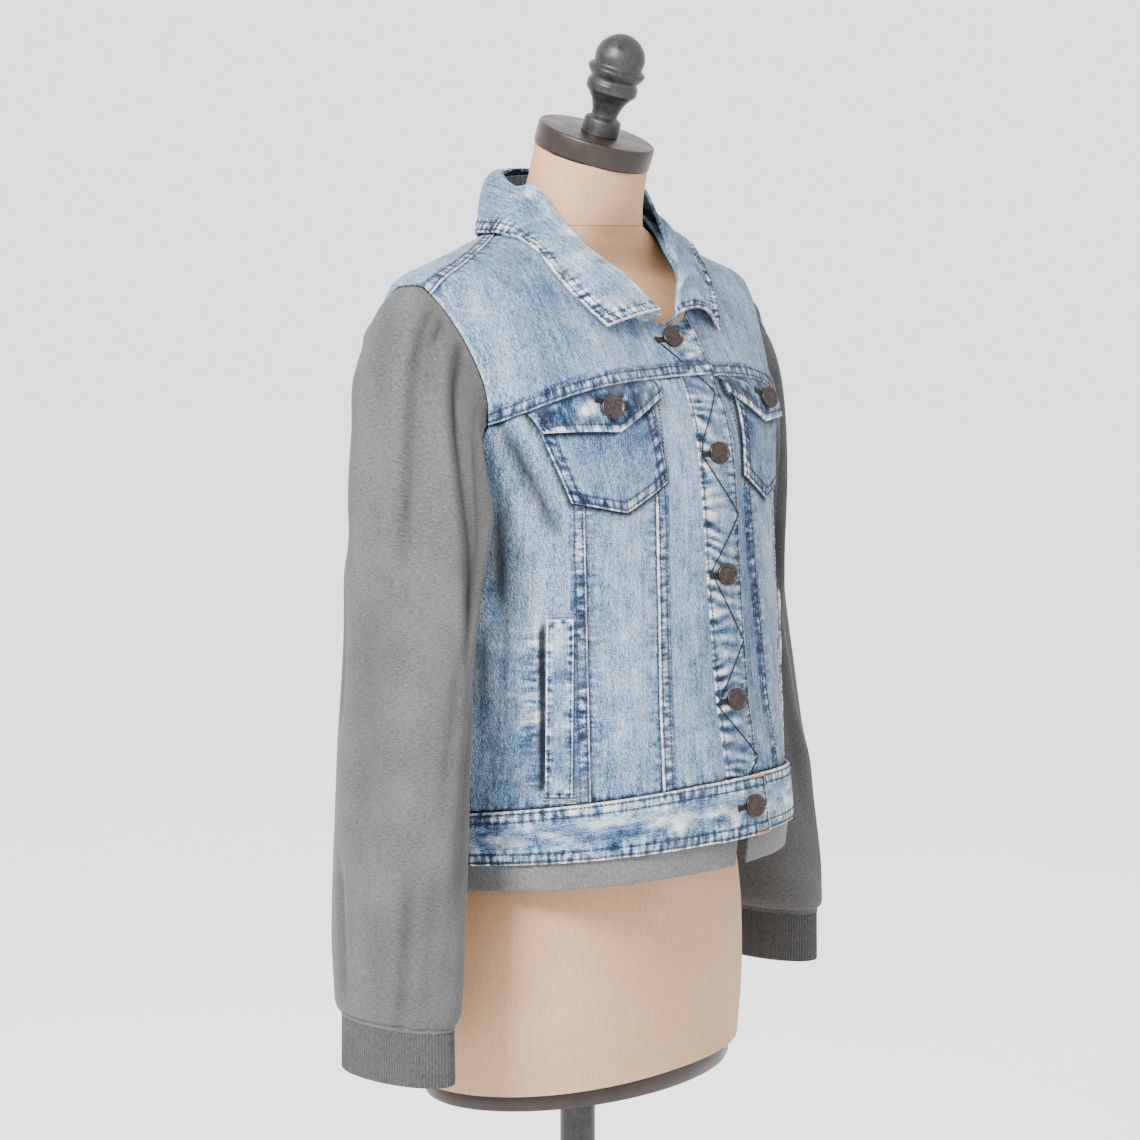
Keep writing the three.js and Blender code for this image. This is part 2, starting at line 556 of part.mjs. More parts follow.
// One half of a yoke, from its low seam to its top edge. side is 1 for the wearer's left.
function yokePoint(share, t, side, shape) {
  const top = yokeTop(share, shape.neckShare, shape.startAngle);
  const lowX = mix(shape.startX, armholeX(shape.armUp), share);
  const lowUp = yokeLowUp(shape.rule, lowX, shape.back);
  const topUp = top.up + (shape.back ? SEAM_UP_GAP : -SEAM_UP_GAP);
  const up = mix(lowUp, topUp, t);
  const straight = mix(armholeX(lowUp), armholeX(topUp), t);
  const x = mix(lowX, top.x, t) + (armholeX(up) - straight) * share ** 3;
  return shoulderPoint(side * x, up);
}
function addYokes() {
  const front = (startX) => ({
    rule: YOKE_FRONT, back: false, neckShare: FRONT_NECK_SHARE, startAngle: angleOfX(startX, NECK_SEAM[0].z), startX,
    armUp: ARM_SEAM_UP.front,
  });
  const left = (s, t) => yokePoint(s, t, 1, front(UNDER_EDGE_X));
  add('front_yoke_left', wallGeometry(14, 8, left, flat(0), flat(DENIM), bodyAxis), denim());
  const right = (s, t) => yokePoint(s, t, -1, front(-PLACKET_EDGE_X));
  add('front_yoke_right', wallGeometry(14, 8, right, placeLap(right), flat(DENIM), bodyAxis), denim());
  const shape = { rule: YOKE_BACK, back: true, neckShare: 0.4, startAngle: 180, startX: 0, armUp: ARM_SEAM_UP.back };
  const back = (s, t) => yokePoint(Math.abs(2 * s - 1), t, s < 0.5 ? -1 : 1, shape);
  add('back_yoke', wallGeometry(20, 11, back, flat(0), flat(DENIM), bodyAxis), denim());
}

// Pieces that lie on the body: the place of a point given by angle and height
function addChestPocket(side) {
  const name = side < 0 ? 'right' : 'left';
  const pocket = (s, t) => {
    const innerAngle = mix(CHEST_POCKET.innerLow, CHEST_POCKET.inner, t);
    const outerAngle = mix(CHEST_POCKET.outerLow, CHEST_POCKET.outerTop, t);
    const angle = mix(innerAngle, outerAngle, s);
    const dip = 1 - Math.abs((angle - CHEST_POCKET.pointAngle) / (s < 0.5 ? innerAngle - CHEST_POCKET.pointAngle
      : outerAngle - CHEST_POCKET.pointAngle));
    const corner = s < 0.5 ? CHEST_POCKET.low : CHEST_POCKET.outerBottom;
    const low = mix(corner, CHEST_POCKET.point, Math.max(dip, 0));
    const high = mix(CHEST_POCKET.top, CHEST_POCKET.topOuter, s);
    return bodyPoint(side * angle, mix(low, high, t));
  };
  const lift = DENIM + GAP + FACET_ROOM;
  const liftPocket = (s, t) => lift + (side < 0 ? lapLift(pocket(s, t).x) : 0);
  add(`chest_pocket_${name}`, wallGeometry(10, 6, pocket, liftPocket, flat(DENIM), bodyAxis), denim());

  const flapPlace = (s, t) => {
    const angle = mix(FLAP.inner, FLAP.outer, s);
    const high = mix(FLAP.innerTop, FLAP.outerTop, s ** FLAP.curve);
    const deep = s < FLAP.pointAt ? mix(FLAP.innerDeep, FLAP.pointDeep, s / FLAP.pointAt)
      : mix(FLAP.pointDeep, FLAP.outerDeep, (s - FLAP.pointAt) / (1 - FLAP.pointAt));
    return bodyPoint(side * angle, high - deep * (1 - t));
  };
  const flapLift = (s, t) => liftPocket(s, t) + DENIM + GAP + FLAP.room + FLAP.stand * (1 - t) * s;
  add(`pocket_flap_${name}`, wallGeometry(12, 3, flapPlace, flapLift, flat(FLAP_THICK), bodyAxis), denim());
  const spot = flapPlace(FLAP.buttonAt, 0.5);
  addButton(`flap_button_${name}`, spot, flapLift(FLAP.buttonAt, 0.5) + FLAP_THICK + GAP, denimNormal(spot));
}

// Outward direction of the body cloth at a point
function denimNormal(point) {
  const angle = degrees(Math.atan2(point.x, -point.y));
  const alongAngle = bodyPoint(angle + 1, point.z).sub(bodyPoint(angle - 1, point.z));
  const upward = bodyPoint(angle, point.z + 3).sub(bodyPoint(angle, point.z - 3));
  return alongAngle.cross(upward).normalize();
}

function addWelt(side) {
  const name = side < 0 ? 'right' : 'left';
  const place = (s, t) => bodyPoint(side * mix(WELT.inner, WELT.outer, s), mix(WELT.low, WELT.top, t));
  const lift = DENIM + GAP + FACET_ROOM;
  add(`welt_${name}`, wallGeometry(2, 7, place, flat(lift), flat(FOLDED_DENIM), bodyAxis), denim());
}

// Shank button: a stem on the cloth and a domed cap with a raised rim
function addButton(name, spot, lift, normal) {
  const { radius, high, shank } = BUTTON;
  const profile = [
    [0, 0], [shank, 0], [shank, high * 0.45], [radius, high * 0.55],
    [radius - 0.4, high * 0.9], [radius - 1.7, high], [radius - 3, high - 0.9], [0, high - 0.3],
  ].map(([x, y]) => new THREE.Vector2(x, y));
  const geometry = new THREE.LatheGeometry(profile, 12);
  const turn = new THREE.Quaternion().setFromUnitVectors(new THREE.Vector3(0, 1, 0), normal);
  geometry.applyQuaternion(turn);
  add(name, geometry, bronze(), spot.clone().addScaledVector(normal, lift));
}
function addFrontButtons() {
  BUTTON_HEIGHTS.forEach((z, i) => {
    const spot = bodyPoint(angleOfX(i === 0 ? TOP_BUTTON_X : BUTTON_X, z), z);
    const waist = z < bandHeight(BAND_TOP, 0);
    const yoke = z > YOKE_FRONT.centre;
    let lift = LAP + FOLDED_DENIM;
    if (waist) lift = BAND_LIFT + 2 * WAISTBAND + GAP + FACET_ROOM;
    if (yoke) lift = LAP + DENIM;
    addButton(`front_button_${i + 1}`, spot, lift + BUTTON_GAP, denimNormal(spot));
  });
}

// Sleeves: from the armhole, over the sleeve head, and down as a hanging tube
const ARMHOLE_LOOP = armholeLoop();
function armholeLoop() {
  const points = [];
  const frontUp = yokeLowUp(YOKE_FRONT, armholeX(ARM_SEAM_UP.front), false);
  const backUp = yokeLowUp(YOKE_BACK, armholeX(ARM_SEAM_UP.back), true);
  const steps = ARMHOLE_STEPS;
  const { top } = ARM_SEAM_UP;
  for (let i = 0; i < steps; i += 1) {
    const up = mix(top, frontUp, i / steps);
    points.push(shoulderPoint(armholeX(up) + HALF_GAP, up));
  }
  for (let i = 0; i < 2 * steps; i += 1) {
    const angle = mix(FRONT_MEET, BACK_MEET, i / (2 * steps));
    points.push(bodyPoint(angle, lowerTop(angle) + ARMHOLE_TRIM));
  }
  for (let i = 0; i < steps; i += 1) {
    const up = mix(backUp, top, i / steps);
    points.push(shoulderPoint(armholeX(up) + HALF_GAP, up));
  }
  return points;
}
// A point of the armhole: around runs 0 to 1 from the top, over the front and under the arm, to the back
function armholePoint(around) {
  const loop = ARMHOLE_LOOP;
  const lengths = loop.map((p, i) => p.distanceTo(loop[(i + 1) % loop.length]));
  const total = lengths.reduce((sum, l) => sum + l, 0);
  let left = (((around % 1) + 1) % 1) * total;
  let i = 0;
  while (left > lengths[i] && i < loop.length - 1) {
    left -= lengths[i];
    i += 1;
  }
  return loop[i].clone().lerp(loop[(i + 1) % loop.length], left / lengths[i]);
}

// A point of the sleeve tube at an angle round it (0 outer side, 90 front) and a height
function sleeveRing(rows, side, turn, z) {
  const keyed = rows.map((row) => ({ ...row, down: -row.z }));
  const ring = readTable(keyed, 'down', -z);
  return new THREE.Vector3(
    ring.x + side * ring.halfX * Math.cos(radians(turn)),
    ring.y - ring.halfY * Math.sin(radians(turn)),
    z,
  );
}
function sleevePlace(rows, side) {
  const { headShare, bodyShare } = SLEEVE_STEPS;
  const topZ = rows[0].z;
  const blouseZ = rows[4].z - BLOUSE_START;
  const lowZ = rows[rows.length - 1].z;
  return (s, t) => {
    const turn = 360 * s;
    if (t > bodyShare) return sleeveRing(rows, side, turn, mix(blouseZ, lowZ, ((t - bodyShare) / (1 - bodyShare)) ** 0.6));
    if (t > headShare) return sleeveRing(rows, side, turn, mix(topZ, blouseZ, (t - headShare) / (bodyShare - headShare)));
    const start = armholePoint(s);
    start.x *= side;
    const hole = new THREE.Vector3(side * HOLE_MIDDLE.x, HOLE_MIDDLE.y, HOLE_MIDDLE.z);
    const inward = hole.clone().sub(start);
    inward.x = 0;
    inward.normalize();
    start.addScaledVector(inward, JERSEY + ARMHOLE_ROOM);
    const end = sleeveRing(rows, side, turn, topZ);
    const slope = HEAD_SLOPE.under + HEAD_SLOPE.rise * (1 + Math.cos(radians(turn))) / 2;
    const outwardStart = new THREE.Vector3(side, 0, slope).normalize();
    const reach = start.distanceTo(end) * HEAD_REACH;
    const c1 = start.clone().addScaledVector(outwardStart, Math.min(reach * HEAD_OUT, HEAD_MOST));
    const c2 = end.clone().add(new THREE.Vector3(0, 0, reach));
    const u = t / headShare;
    const curve = new THREE.CubicBezierCurve3(start, c1, c2, end);
    return curve.getPoint(u);
  };
}
function sleeveFold(s, z, side) {
  let lift = 0;
  for (const fold of SLEEVE_FOLDS) {
    const t = (fold.high - z) / (fold.high - fold.low);
    const along = smooth((t + 0.2) / 0.4) * smooth((1.2 - t) / 0.4);
    const shift = side > 0 ? 9 : 0;
    const away = wrap(360 * s - mix(fold.from, fold.to, t) - shift) * radians(1) * FOLD_RADIUS.sleeve;
    lift += fold.rise * along * Math.exp(-((away / fold.wide) ** 2));
  }
  return lift;
}
function addSleeves() {
  for (const side of [-1, 1]) {
    const name = side < 0 ? 'right' : 'left';
    const rows = side < 0 ? SLEEVE_RIGHT : SLEEVE_LEFT;
    const place = sleevePlace(rows, side);
    const head = new THREE.Vector3(side * HEAD_MIDDLE.x, 0, HEAD_MIDDLE.z);
    const middle = (p) => (p.z > HEAD_MIDDLE.low ? head : new THREE.Vector3(rows[3].x, rows[3].y, p.z));
    const lift = (s, t) => {
      const p = place(s, t);
      return sleeveFold(s, p.z, side) * smooth(t / 0.08) * smooth((1 - t) / 0.04);
    };
    add(`sleeve_${name}`, wallGeometry(20, SLEEVE_STEPS.rows, place, lift, flat(JERSEY), middle, true), jersey());
    const last = rows[rows.length - 1];
    const cuff = (s, t) => new THREE.Vector3(
      last.x + side * (last.halfX - 1 + CUFF_FLARE * t) * Math.cos(radians(360 * s)),
      last.y - (last.halfY - 1 + CUFF_FLARE * t) * Math.sin(radians(360 * s)),
      last.z - GAP - t * CUFF_DEEP,
    );
    const cuffMiddle = (p) => new THREE.Vector3(last.x, last.y, p.z);
    add(`cuff_${name}`, wallGeometry(20, 2, cuff, flat(0), flat(RIB), cuffMiddle, true), jersey());
  }
}

// Collar: a stand on the neck seam and a leaf that rolls over it
const half = (s) => ({ side: s < 0.5 ? -1 : 1, at: 1 - Math.abs(1 - 2 * s) });
function rollPoint(s) {
  const { side, at } = half(s);
  const row = readTable(ROLL_LINE, 'at', at);
  return new THREE.Vector3(side * row.x, row.y, row.z);
}
// The stand's foot, just above the neck seam and level with the middle of the yoke's wall
function standFoot(s) {
  const { side, at } = half(s);
  const angle = side * mix(NECK_FRONT_ANGLE, 180, at ** 0.95);
  const point = ringPoint(BODY_RINGS, angle, readTable(NECK_SEAM, 'angle', Math.abs(angle)).z + STAND_ROOM);
  const lift = DENIM / 2 + lapLift(point.x);
  return point.addScaledVector(denimNormal(point), lift);
}
// Keeps a point a distance outside the body cloth
function clearOfBody(point, distance) {
  const reach = Math.hypot(point.y, point.z - RAY_Z);
  const surface = shoulderPoint(point.x, upOf(point));
  const least = Math.hypot(surface.y, surface.z - RAY_Z) + distance + lapLift(point.x);
  if (reach >= least) return point;
  const scale = least / reach;
  return new THREE.Vector3(point.x, point.y * scale, RAY_Z + (point.z - RAY_Z) * scale);
}
function addCollar() {
  const axis = (p) => new THREE.Vector3(0, 0, p.z - 20);
  const stand = (s, t) => {
    const low = standFoot(s);
    const high = rollPoint(s);
    const middle = low.clone().lerp(high, 0.5).add(new THREE.Vector3(0, 0, 1.5));
    return new THREE.QuadraticBezierCurve3(low, middle, high).getPoint(t);
  };
  add('collar_stand', wallGeometry(34, 2, stand, flat(-STAND_THICK / 2), flat(STAND_THICK), axis), denim());
  const leaf = (s, t) => {
    const { side, at } = half(s);
    const start = rollPoint(s).add(new THREE.Vector3(0, 0, LEAF_THICK / 2 + ROLL_ROOM));
    const row = readTable(LEAF_EDGE, 'at', at);
    const end = new THREE.Vector3(side * row.x, row.y, row.z + LEAF_THICK);
    const pull = side > 0 ? smooth(1 - at / LEFT_POINT.fade) : 0;
    end.add(new THREE.Vector3(LEFT_POINT.x, LEFT_POINT.y, LEFT_POINT.z).multiplyScalar(pull));
    const outward = end.clone().sub(start);
    outward.z = 0;
    const reach = start.distanceTo(end) * LEAF_ROLL.start;
    outward.normalize();
    const c1 = start.clone().addScaledVector(outward, reach).add(new THREE.Vector3(0, 0, LEAF_CROWN));
    const back = LEAF_ROLL.end;
    const c2 = end.clone().lerp(start, back).add(new THREE.Vector3(0, 0, reach * back));
    c2.addScaledVector(outward, LEAF_ROLL.out);
    const point = new THREE.CubicBezierCurve3(start, c1, c2, end).getPoint(t);
    return clearOfBody(point, DENIM + GAP + FACET_ROOM + LEAF_THICK / 2);
  };
  add('collar_leaf', wallGeometry(34, 5, leaf, flat(-LEAF_THICK / 2), flat(LEAF_THICK), axis), denim());
}

// Dress form: body, neck, tilted cap and finial, and the stand under it
function stackGeometry(count, rings) {
  const points = [];
  const faces = [];
  for (const ring of rings) {
    for (let i = 0; i < count; i += 1) {
      const p = ring((360 * i) / count);
      points.push(p.x, p.y, p.z);
    }
  }
  const levels = rings.length;
  for (let j = 0; j < levels - 1; j += 1) {
    for (let i = 0; i < count; i += 1) {
      const a = j * count + i;
      const b = j * count + ((i + 1) % count);
      faces.push(a, b, b + count, a, b + count, a + count);
    }
  }
  for (const [level, down] of [[0, true], [levels - 1, false]]) {
    const first = level * count;
    for (let i = 1; i < count - 1; i += 1) {
      if (down) faces.push(first, first + i + 1, first + i);
      else faces.push(first, first + i, first + i + 1);
    }
  }
  return closedGeometry(points, faces);
}
function addForm() {
  const rings = FORM_RINGS.map((row) => (angle) => ringPoint(FORM_RINGS, angle, row.z));
  add('form_body', stackGeometry(32, rings), linen());
  const tilt = new THREE.Quaternion().setFromAxisAngle(new THREE.Vector3(1, 0, 0), radians(CAP.tilt));
  const capLow = new THREE.Vector3(0, 0, -CAP.thick).applyQuaternion(tilt).add(new THREE.Vector3(0, CAP.y, CAP.z));
  const neck = NECK_RINGS.map((row, i) => (angle) => {
    const s = Math.sin(radians(angle));
    const c = Math.cos(radians(angle));
    const depth = c >= 0 ? row.front : row.back;
    const share = i / (NECK_RINGS.length - 1);
    const level = new THREE.Vector3(row.side * s, row.y - depth * c, NECK_START + row.up);
    const top = new THREE.Vector3(row.side * s, -depth * c, -GAP).applyQuaternion(tilt).add(capLow);
    return level.lerp(top, share ** 1.5);
  });
  add('form_neck', stackGeometry(28, neck), linen());

  const { radius, thick, edge } = CAP;
  const capProfile = [
    [0, 0], [radius - edge, 0], [radius, edge], [radius, thick - edge], [radius - edge, thick], [0, thick],
  ];
  const cap = new THREE.LatheGeometry(capProfile.map(([x, y]) => new THREE.Vector2(x, y)), 28);
  cap.rotateX(Math.PI / 2);
  cap.applyQuaternion(tilt);
  add('neck_cap', cap, bronze(), capLow);

  const profile = [new THREE.Vector2(0, 0), ...FINIAL.map((row) => new THREE.Vector2(row.radius, row.up))];
  const finial = new THREE.LatheGeometry(profile, 16);
  finial.rotateX(Math.PI / 2);
  finial.applyQuaternion(tilt);
  const seat = new THREE.Vector3(0, 0, GAP).applyQuaternion(tilt).add(new THREE.Vector3(0, CAP.y, CAP.z))
    .add(new THREE.Vector3(0, -FINIAL_FORWARD, 0).applyQuaternion(tilt));
  add('finial', finial, iron(), seat);
}
function addStand() {
  const formLow = FORM_RINGS[0].z;
  const plateRings = [formLow - GAP - HIP_PLATE.thick, formLow - GAP].map((z) => (angle) => new THREE.Vector3(
    HIP_PLATE.radiusX * Math.sin(radians(angle)),
    HIP_PLATE.y - HIP_PLATE.radiusY * Math.cos(radians(angle)),
    z,
  ));
  add('hip_plate', stackGeometry(32, plateRings), bronze());
  const poleLow = BASE.hubHigh + GAP;
  const poleHigh = formLow - GAP - HIP_PLATE.thick - COLLAR_RING.high - 2 * GAP;
  const pole = new THREE.CylinderGeometry(POLE_RADIUS, POLE_RADIUS, poleHigh - poleLow, 20);
  pole.rotateX(Math.PI / 2);
  add('pole', pole, iron(), new THREE.Vector3(0, 0, (poleLow + poleHigh) / 2));
  const ring = new THREE.CylinderGeometry(COLLAR_RING.radius, COLLAR_RING.radius * 0.8, COLLAR_RING.high, 24);
  ring.rotateX(Math.PI / 2);
  add('pole_collar', ring, iron(), new THREE.Vector3(0, 0, poleHigh + GAP + COLLAR_RING.high / 2));
  const { radius, rim, middle, hub, hubHigh } = BASE;
  const profile = [
    [0, 0], [radius, 0], [radius, rim], [radius - 6, rim + 3], [hub + 24, middle], [hub, middle + 3], [hub - 8, hubHigh], [0, hubHigh],
  ].map(([x, y]) => new THREE.Vector2(x, y));
  const base = new THREE.LatheGeometry(profile, 32);
  base.rotateX(Math.PI / 2);
  add('base', base, iron());
}

addLowerPanels();
addBands();
addYokes();
for (const side of [-1, 1]) {
  addChestPocket(side);
  addWelt(side);
}
addFrontButtons();
addSleeves();
addCollar();
addForm();
addStand();

export default group;
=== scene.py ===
import math

import bpy
import numpy as np
from mathutils import Matrix, Vector


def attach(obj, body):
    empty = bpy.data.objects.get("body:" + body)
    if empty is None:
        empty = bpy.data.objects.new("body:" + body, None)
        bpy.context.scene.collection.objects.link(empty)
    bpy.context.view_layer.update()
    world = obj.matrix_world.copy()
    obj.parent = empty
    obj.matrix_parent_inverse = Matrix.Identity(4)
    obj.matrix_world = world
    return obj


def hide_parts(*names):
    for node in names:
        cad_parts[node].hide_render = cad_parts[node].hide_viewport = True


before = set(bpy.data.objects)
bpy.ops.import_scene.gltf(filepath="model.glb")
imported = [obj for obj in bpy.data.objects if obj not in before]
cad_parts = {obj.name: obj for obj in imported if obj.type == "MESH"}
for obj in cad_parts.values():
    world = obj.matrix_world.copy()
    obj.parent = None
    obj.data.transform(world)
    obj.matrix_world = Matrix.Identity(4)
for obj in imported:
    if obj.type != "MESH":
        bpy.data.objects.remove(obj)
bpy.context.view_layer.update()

MM = 0.001


def rows(names, *values):
    return [dict(zip(names.split(), row)) for row in values]


def columns(names, *values):
    return dict(zip(names.split(), np.array(values, float).T))


# Cloth and seams; the body's radius turns an angle round it into a length
DENIM = 1.8
FOLDED_DENIM = 2.6
JERSEY = 1.6
RIB = 1.9
GAP = 0.3
HALF_GAP = GAP / 2
LAP = DENIM + 3 * GAP
FACET_ROOM = 0.8
BODY_RADIUS = 150
SEAM_ANGLE = math.degrees(HALF_GAP / BODY_RADIUS)

# Level rings of the body cloth: half width, depths, and exponent of the superellipse
BODY_RINGS = columns(
    "z side front back round",
    (920, 162, 153, 97, 2.15), (965, 165, 158, 98, 2.15), (1000, 165, 154, 98, 2.15),
    (1068, 167, 142, 99, 2.2), (1120, 170, 136.5, 102, 2.2), (1163, 171, 132.5, 106, 2.2),
    (1210, 172, 129, 109, 2.2), (1255, 176, 124, 110, 2.25), (1280, 181, 118, 109, 2.3),
    (1308, 187, 107, 106, 2.3), (1345, 192, 86, 94, 2.3), (1365, 193, 73, 80, 2.3),
    (1378, 191, 62, 67, 2.3), (1386, 179, 56, 61, 2.3), (1393, 157, 52, 58, 2.3),
    (1401, 131, 49, 56, 2.3), (1409, 107, 46, 54, 2.3), (1418, 83, 43, 52, 2.3),
    (1434, 70, 40, 50, 2.3), (1455, 62, 38, 48, 2.3),
)

# Soft folds in the body cloth, from one angle and height to another; a negative rise is a trough
BODY_FOLDS = rows(
    "start low end high wide rise",
    (-72, 1205, -67, 1262, 9, 2.2), (-76, 1120, -70, 1215, 12, 3.2), (-83, 1030, -76, 1105, 12, 2.6),
    (-38, 1040, -30, 1150, 14, 1.6), (72, 1195, 68, 1255, 9, 2.2), (78, 1100, 71, 1205, 12, 3.0),
    (35, 1040, 30, 1140, 14, 1.7), (112, 1080, 122, 1215, 15, 3.4), (-116, 1070, -125, 1220, 15, 3.6),
    (150, 1020, 158, 1130, 17, 2.6), (-158, 1035, -150, 1160, 17, 2.8),
    (-55, 1196, -69.5, 1282, 4.8, -5.2), (-61, 1200, -75, 1270, 6, 2.0), (-70, 1143, -70.4, 1222, 5.2, -5.2),
    (-76, 1060, -75, 1126, 5, -3.0), (-64, 1045, -66, 1120, 7, 1.0), (56, 1206, 68, 1274, 4.6, -3.4),
    (70, 1136, 71.5, 1214, 5, -3.8), (77, 1052, 75, 1118, 4.2, -1.6), (104, 1100, 113, 1216, 5, -2.2),
    (-106, 1085, -114, 1208, 5, -2.4), (130, 1110, 138, 1240, 6, -1.6), (-139, 1090, -146, 1225, 6, -1.8),
    (171, 1060, 176, 1190, 7, -1.3), (-172, 1020, -168, 1120, 7, -1.2), (24, 1130, 18, 1205, 6, -0.9),
)

# Seams of the body, as angles at the waistband and at the top
SEAM_INNER = (26.7, 24.5)
SEAM_OUTER = (46.5, 49)
SIDE_SEAM = (93, 91)
SEAM_BACK = (142, 136)

# Front opening: the right front laps over the left one
PLACKET_INNER_X = -12
PLACKET_EDGE_X = 30
UNDER_EDGE_X = -14
UNDER_SEAM_X = 34
BUTTON_X = 8
TOP_BUTTON_X = -5
LAP_START_X = -42

# Yoke seams, armholes and shoulder seams
YOKE_FRONT = dict(centre=1309, drop=30, half=167, power=3.2)
YOKE_BACK = dict(centre=1300, drop=12, half=172, power=2.2)
ARMHOLE_FRONT_X = 167
ARMHOLE_BACK_X = 172
ARMHOLE_LOW = dict(angle=92, z=1224, power=2.1)
ARMHOLE_TRIM = 2.0
RAY_Z = 1345
ARMHOLE_TOP = columns(
    "up x", (-70, 166), (-48, 167), (-15, 175), (20, 182), (60, 188), (95, 190), (125, 188), (165, 182),
    (200, 176), (230, 172), (250, 171),
)
SHOULDER_NECK_ANGLE = 99
SHOULDER_ARM_UP = 56
FRONT_ARM_UP = -52
BACK_ARM_UP = 228
BACK_NECK_SHARE = 0.4
SEAM_UP_GAP = 0.15

# Waistband and hem band, as heights at the side seam plus a rise towards the front and back
BAND_TOP = dict(side=986, front=22, back=-5)
BAND_LOW = dict(side=948, front=16, back=-3)
HEM_LOW = dict(side=928, front=14, back=-2)
HEM_HIDDEN = 12
WAISTBAND = 3.0
BAND_LIFT = JERSEY + GAP + FACET_ROOM

# Neck seam and collar
NECK_SEAM = columns(
    "angle z", (0, 1351), (20, 1357), (35, 1372), (50, 1392), (65, 1407), (80, 1415), (100, 1420),
    (130, 1427), (180, 1431),
)
ROLL_LINE = columns(
    "at x y z", (0, 20, -98, 1366), (0.12, 33, -78, 1381), (0.25, 46, -52, 1401), (0.4, 60, -22, 1426),
    (0.55, 64, 3, 1445), (0.7, 55, 27, 1456), (0.85, 32, 45, 1462), (1, 0, 52, 1464),
)
LEAF_EDGE = columns(
    "at x y z", (0, 74, -91, 1347), (0.12, 82, -73, 1364), (0.25, 90, -52, 1384), (0.4, 95, -24, 1405),
    (0.55, 94, 4, 1416), (0.7, 80, 33, 1416), (0.85, 48, 55, 1411), (1, 0, 63, 1409),
)
LEFT_POINT = dict(move=(-9, 3, -6), fade=0.25)
ROLL_END_RIGHT = dict(move=(0, 0, -8.5), fade=0.16)
ROLL_END_LEFT = dict(move=(-22, -1, -13), fade=0.2)
FOOT_DROP = 8.5
LEFT_FOOT_ANGLE = -1
NECK_DROP = 0.155
FRONT_FLAT = 0.1
LEAF_THICK = 2.6
LEAF_CROWN = 6
STAND_THICK = 2.4
STAND_ROOM = 3.8
ROLL_ROOM = 2.4
NECK_FRONT_ANGLE = 14

# Pockets, as angles and heights on the body; a degree round the front is ANGLE_WIDE across
ANGLE_WIDE = 2.45
POCKET = dict(
    inner=25, inner_low=20.8, outer_top=61, outer_low=52, top=1299, top_outer=1287, low=1234,
    outer_bottom=1222, point=1213, point_angle=36,
)
FLAP = dict(
    inner=20, outer=63, inner_top=1304.5, outer_top=1288.5, inner_deep=9, outer_deep=15, point_deep=28,
    point_at=0.47, button_at=0.52, room=0.5, curve=1.6, stand=1.2, stitch=5.2, worn_at=0.69,
)
FLAP_THICK = 2.2
FLAP_SLANT = 3.6
POCKET_TOP_DROP = 6
WELT = dict(inner=51.4, outer=58.2, top=1137, low=1006)

# Sleeves: centre lines and half axes from under the arm down to the rib
SLEEVE_RIGHT = columns(
    "z x y half_x half_y", (1196, -210, -22, 31, 62), (1120, -214, -21, 32, 60), (1040, -223, -22, 32.5, 58),
    (960, -227, -22, 31, 57.5), (890, -230, -22, 29.5, 56.5), (858, -231, -22, 29.3, 55.5),
    (851, -231.5, -22, 27.3, 53.5), (848.5, -231.5, -22, 23.6, 50.6), (844.5, -231.5, -22, 23.5, 50.5),
)
SLEEVE_LEFT = columns(
    "z x y half_x half_y", (1196, 207, 22, 28, 62), (1120, 210, 17, 30, 60), (1040, 216, 6, 31, 57),
    (960, 222, -6, 30, 55), (895, 225, -15, 28.5, 54), (866, 226, -18, 28.3, 53.3),
    (859, 226.5, -19, 26.3, 51.3), (856.5, 226.5, -19, 22.6, 48.6), (852.5, 226.5, -19, 22.5, 48.5),
)
HEAD_SLOPE = dict(under=-0.12, rise=-0.25)
HEAD_REACH = 0.45
HEAD_OUT = 0.8
HEAD_MOST = 32
ARMHOLE_ROOM = 0.3
HEAD_SHARE = 0.4
BODY_SHARE = 0.8
ARM_MIDDLE = (178, 2, 1300)
BLOUSE_START = 24
BLOUSE_CURVE = 0.6
SLEEVE_RADIUS = 48
SLEEVE_ROUND = 320
SLEEVE_COLUMNS = 161
SLEEVE_ROWS = ((0, 0.03, 7), (0.03, 0.8, 150), (0.8, 1, 34))
LEFT_FOLD_TURN = 9
CUFF_DEEP = 40
CUFF_FLARE = 0.5
RIB_PITCH = 2.3
RIB_HIGH = 0.32
RIB_SHADE = 0.22

# Folds in the sleeves: start and end are degrees from the outer side, positive towards the front
SLEEVE_FOLDS = rows(
    "start high end low wide rise",
    (40, 1362, 62, 1180, 9, 3.4), (20, 1372, 30, 1290, 8, 3.0), (100, 1285, 96, 1130, 12, 3.2),
    (70, 1010, 58, 872, 10, 3.0), (-40, 1340, -60, 1160, 12, 3.0), (-85, 1020, -70, 880, 12, 2.8),
)
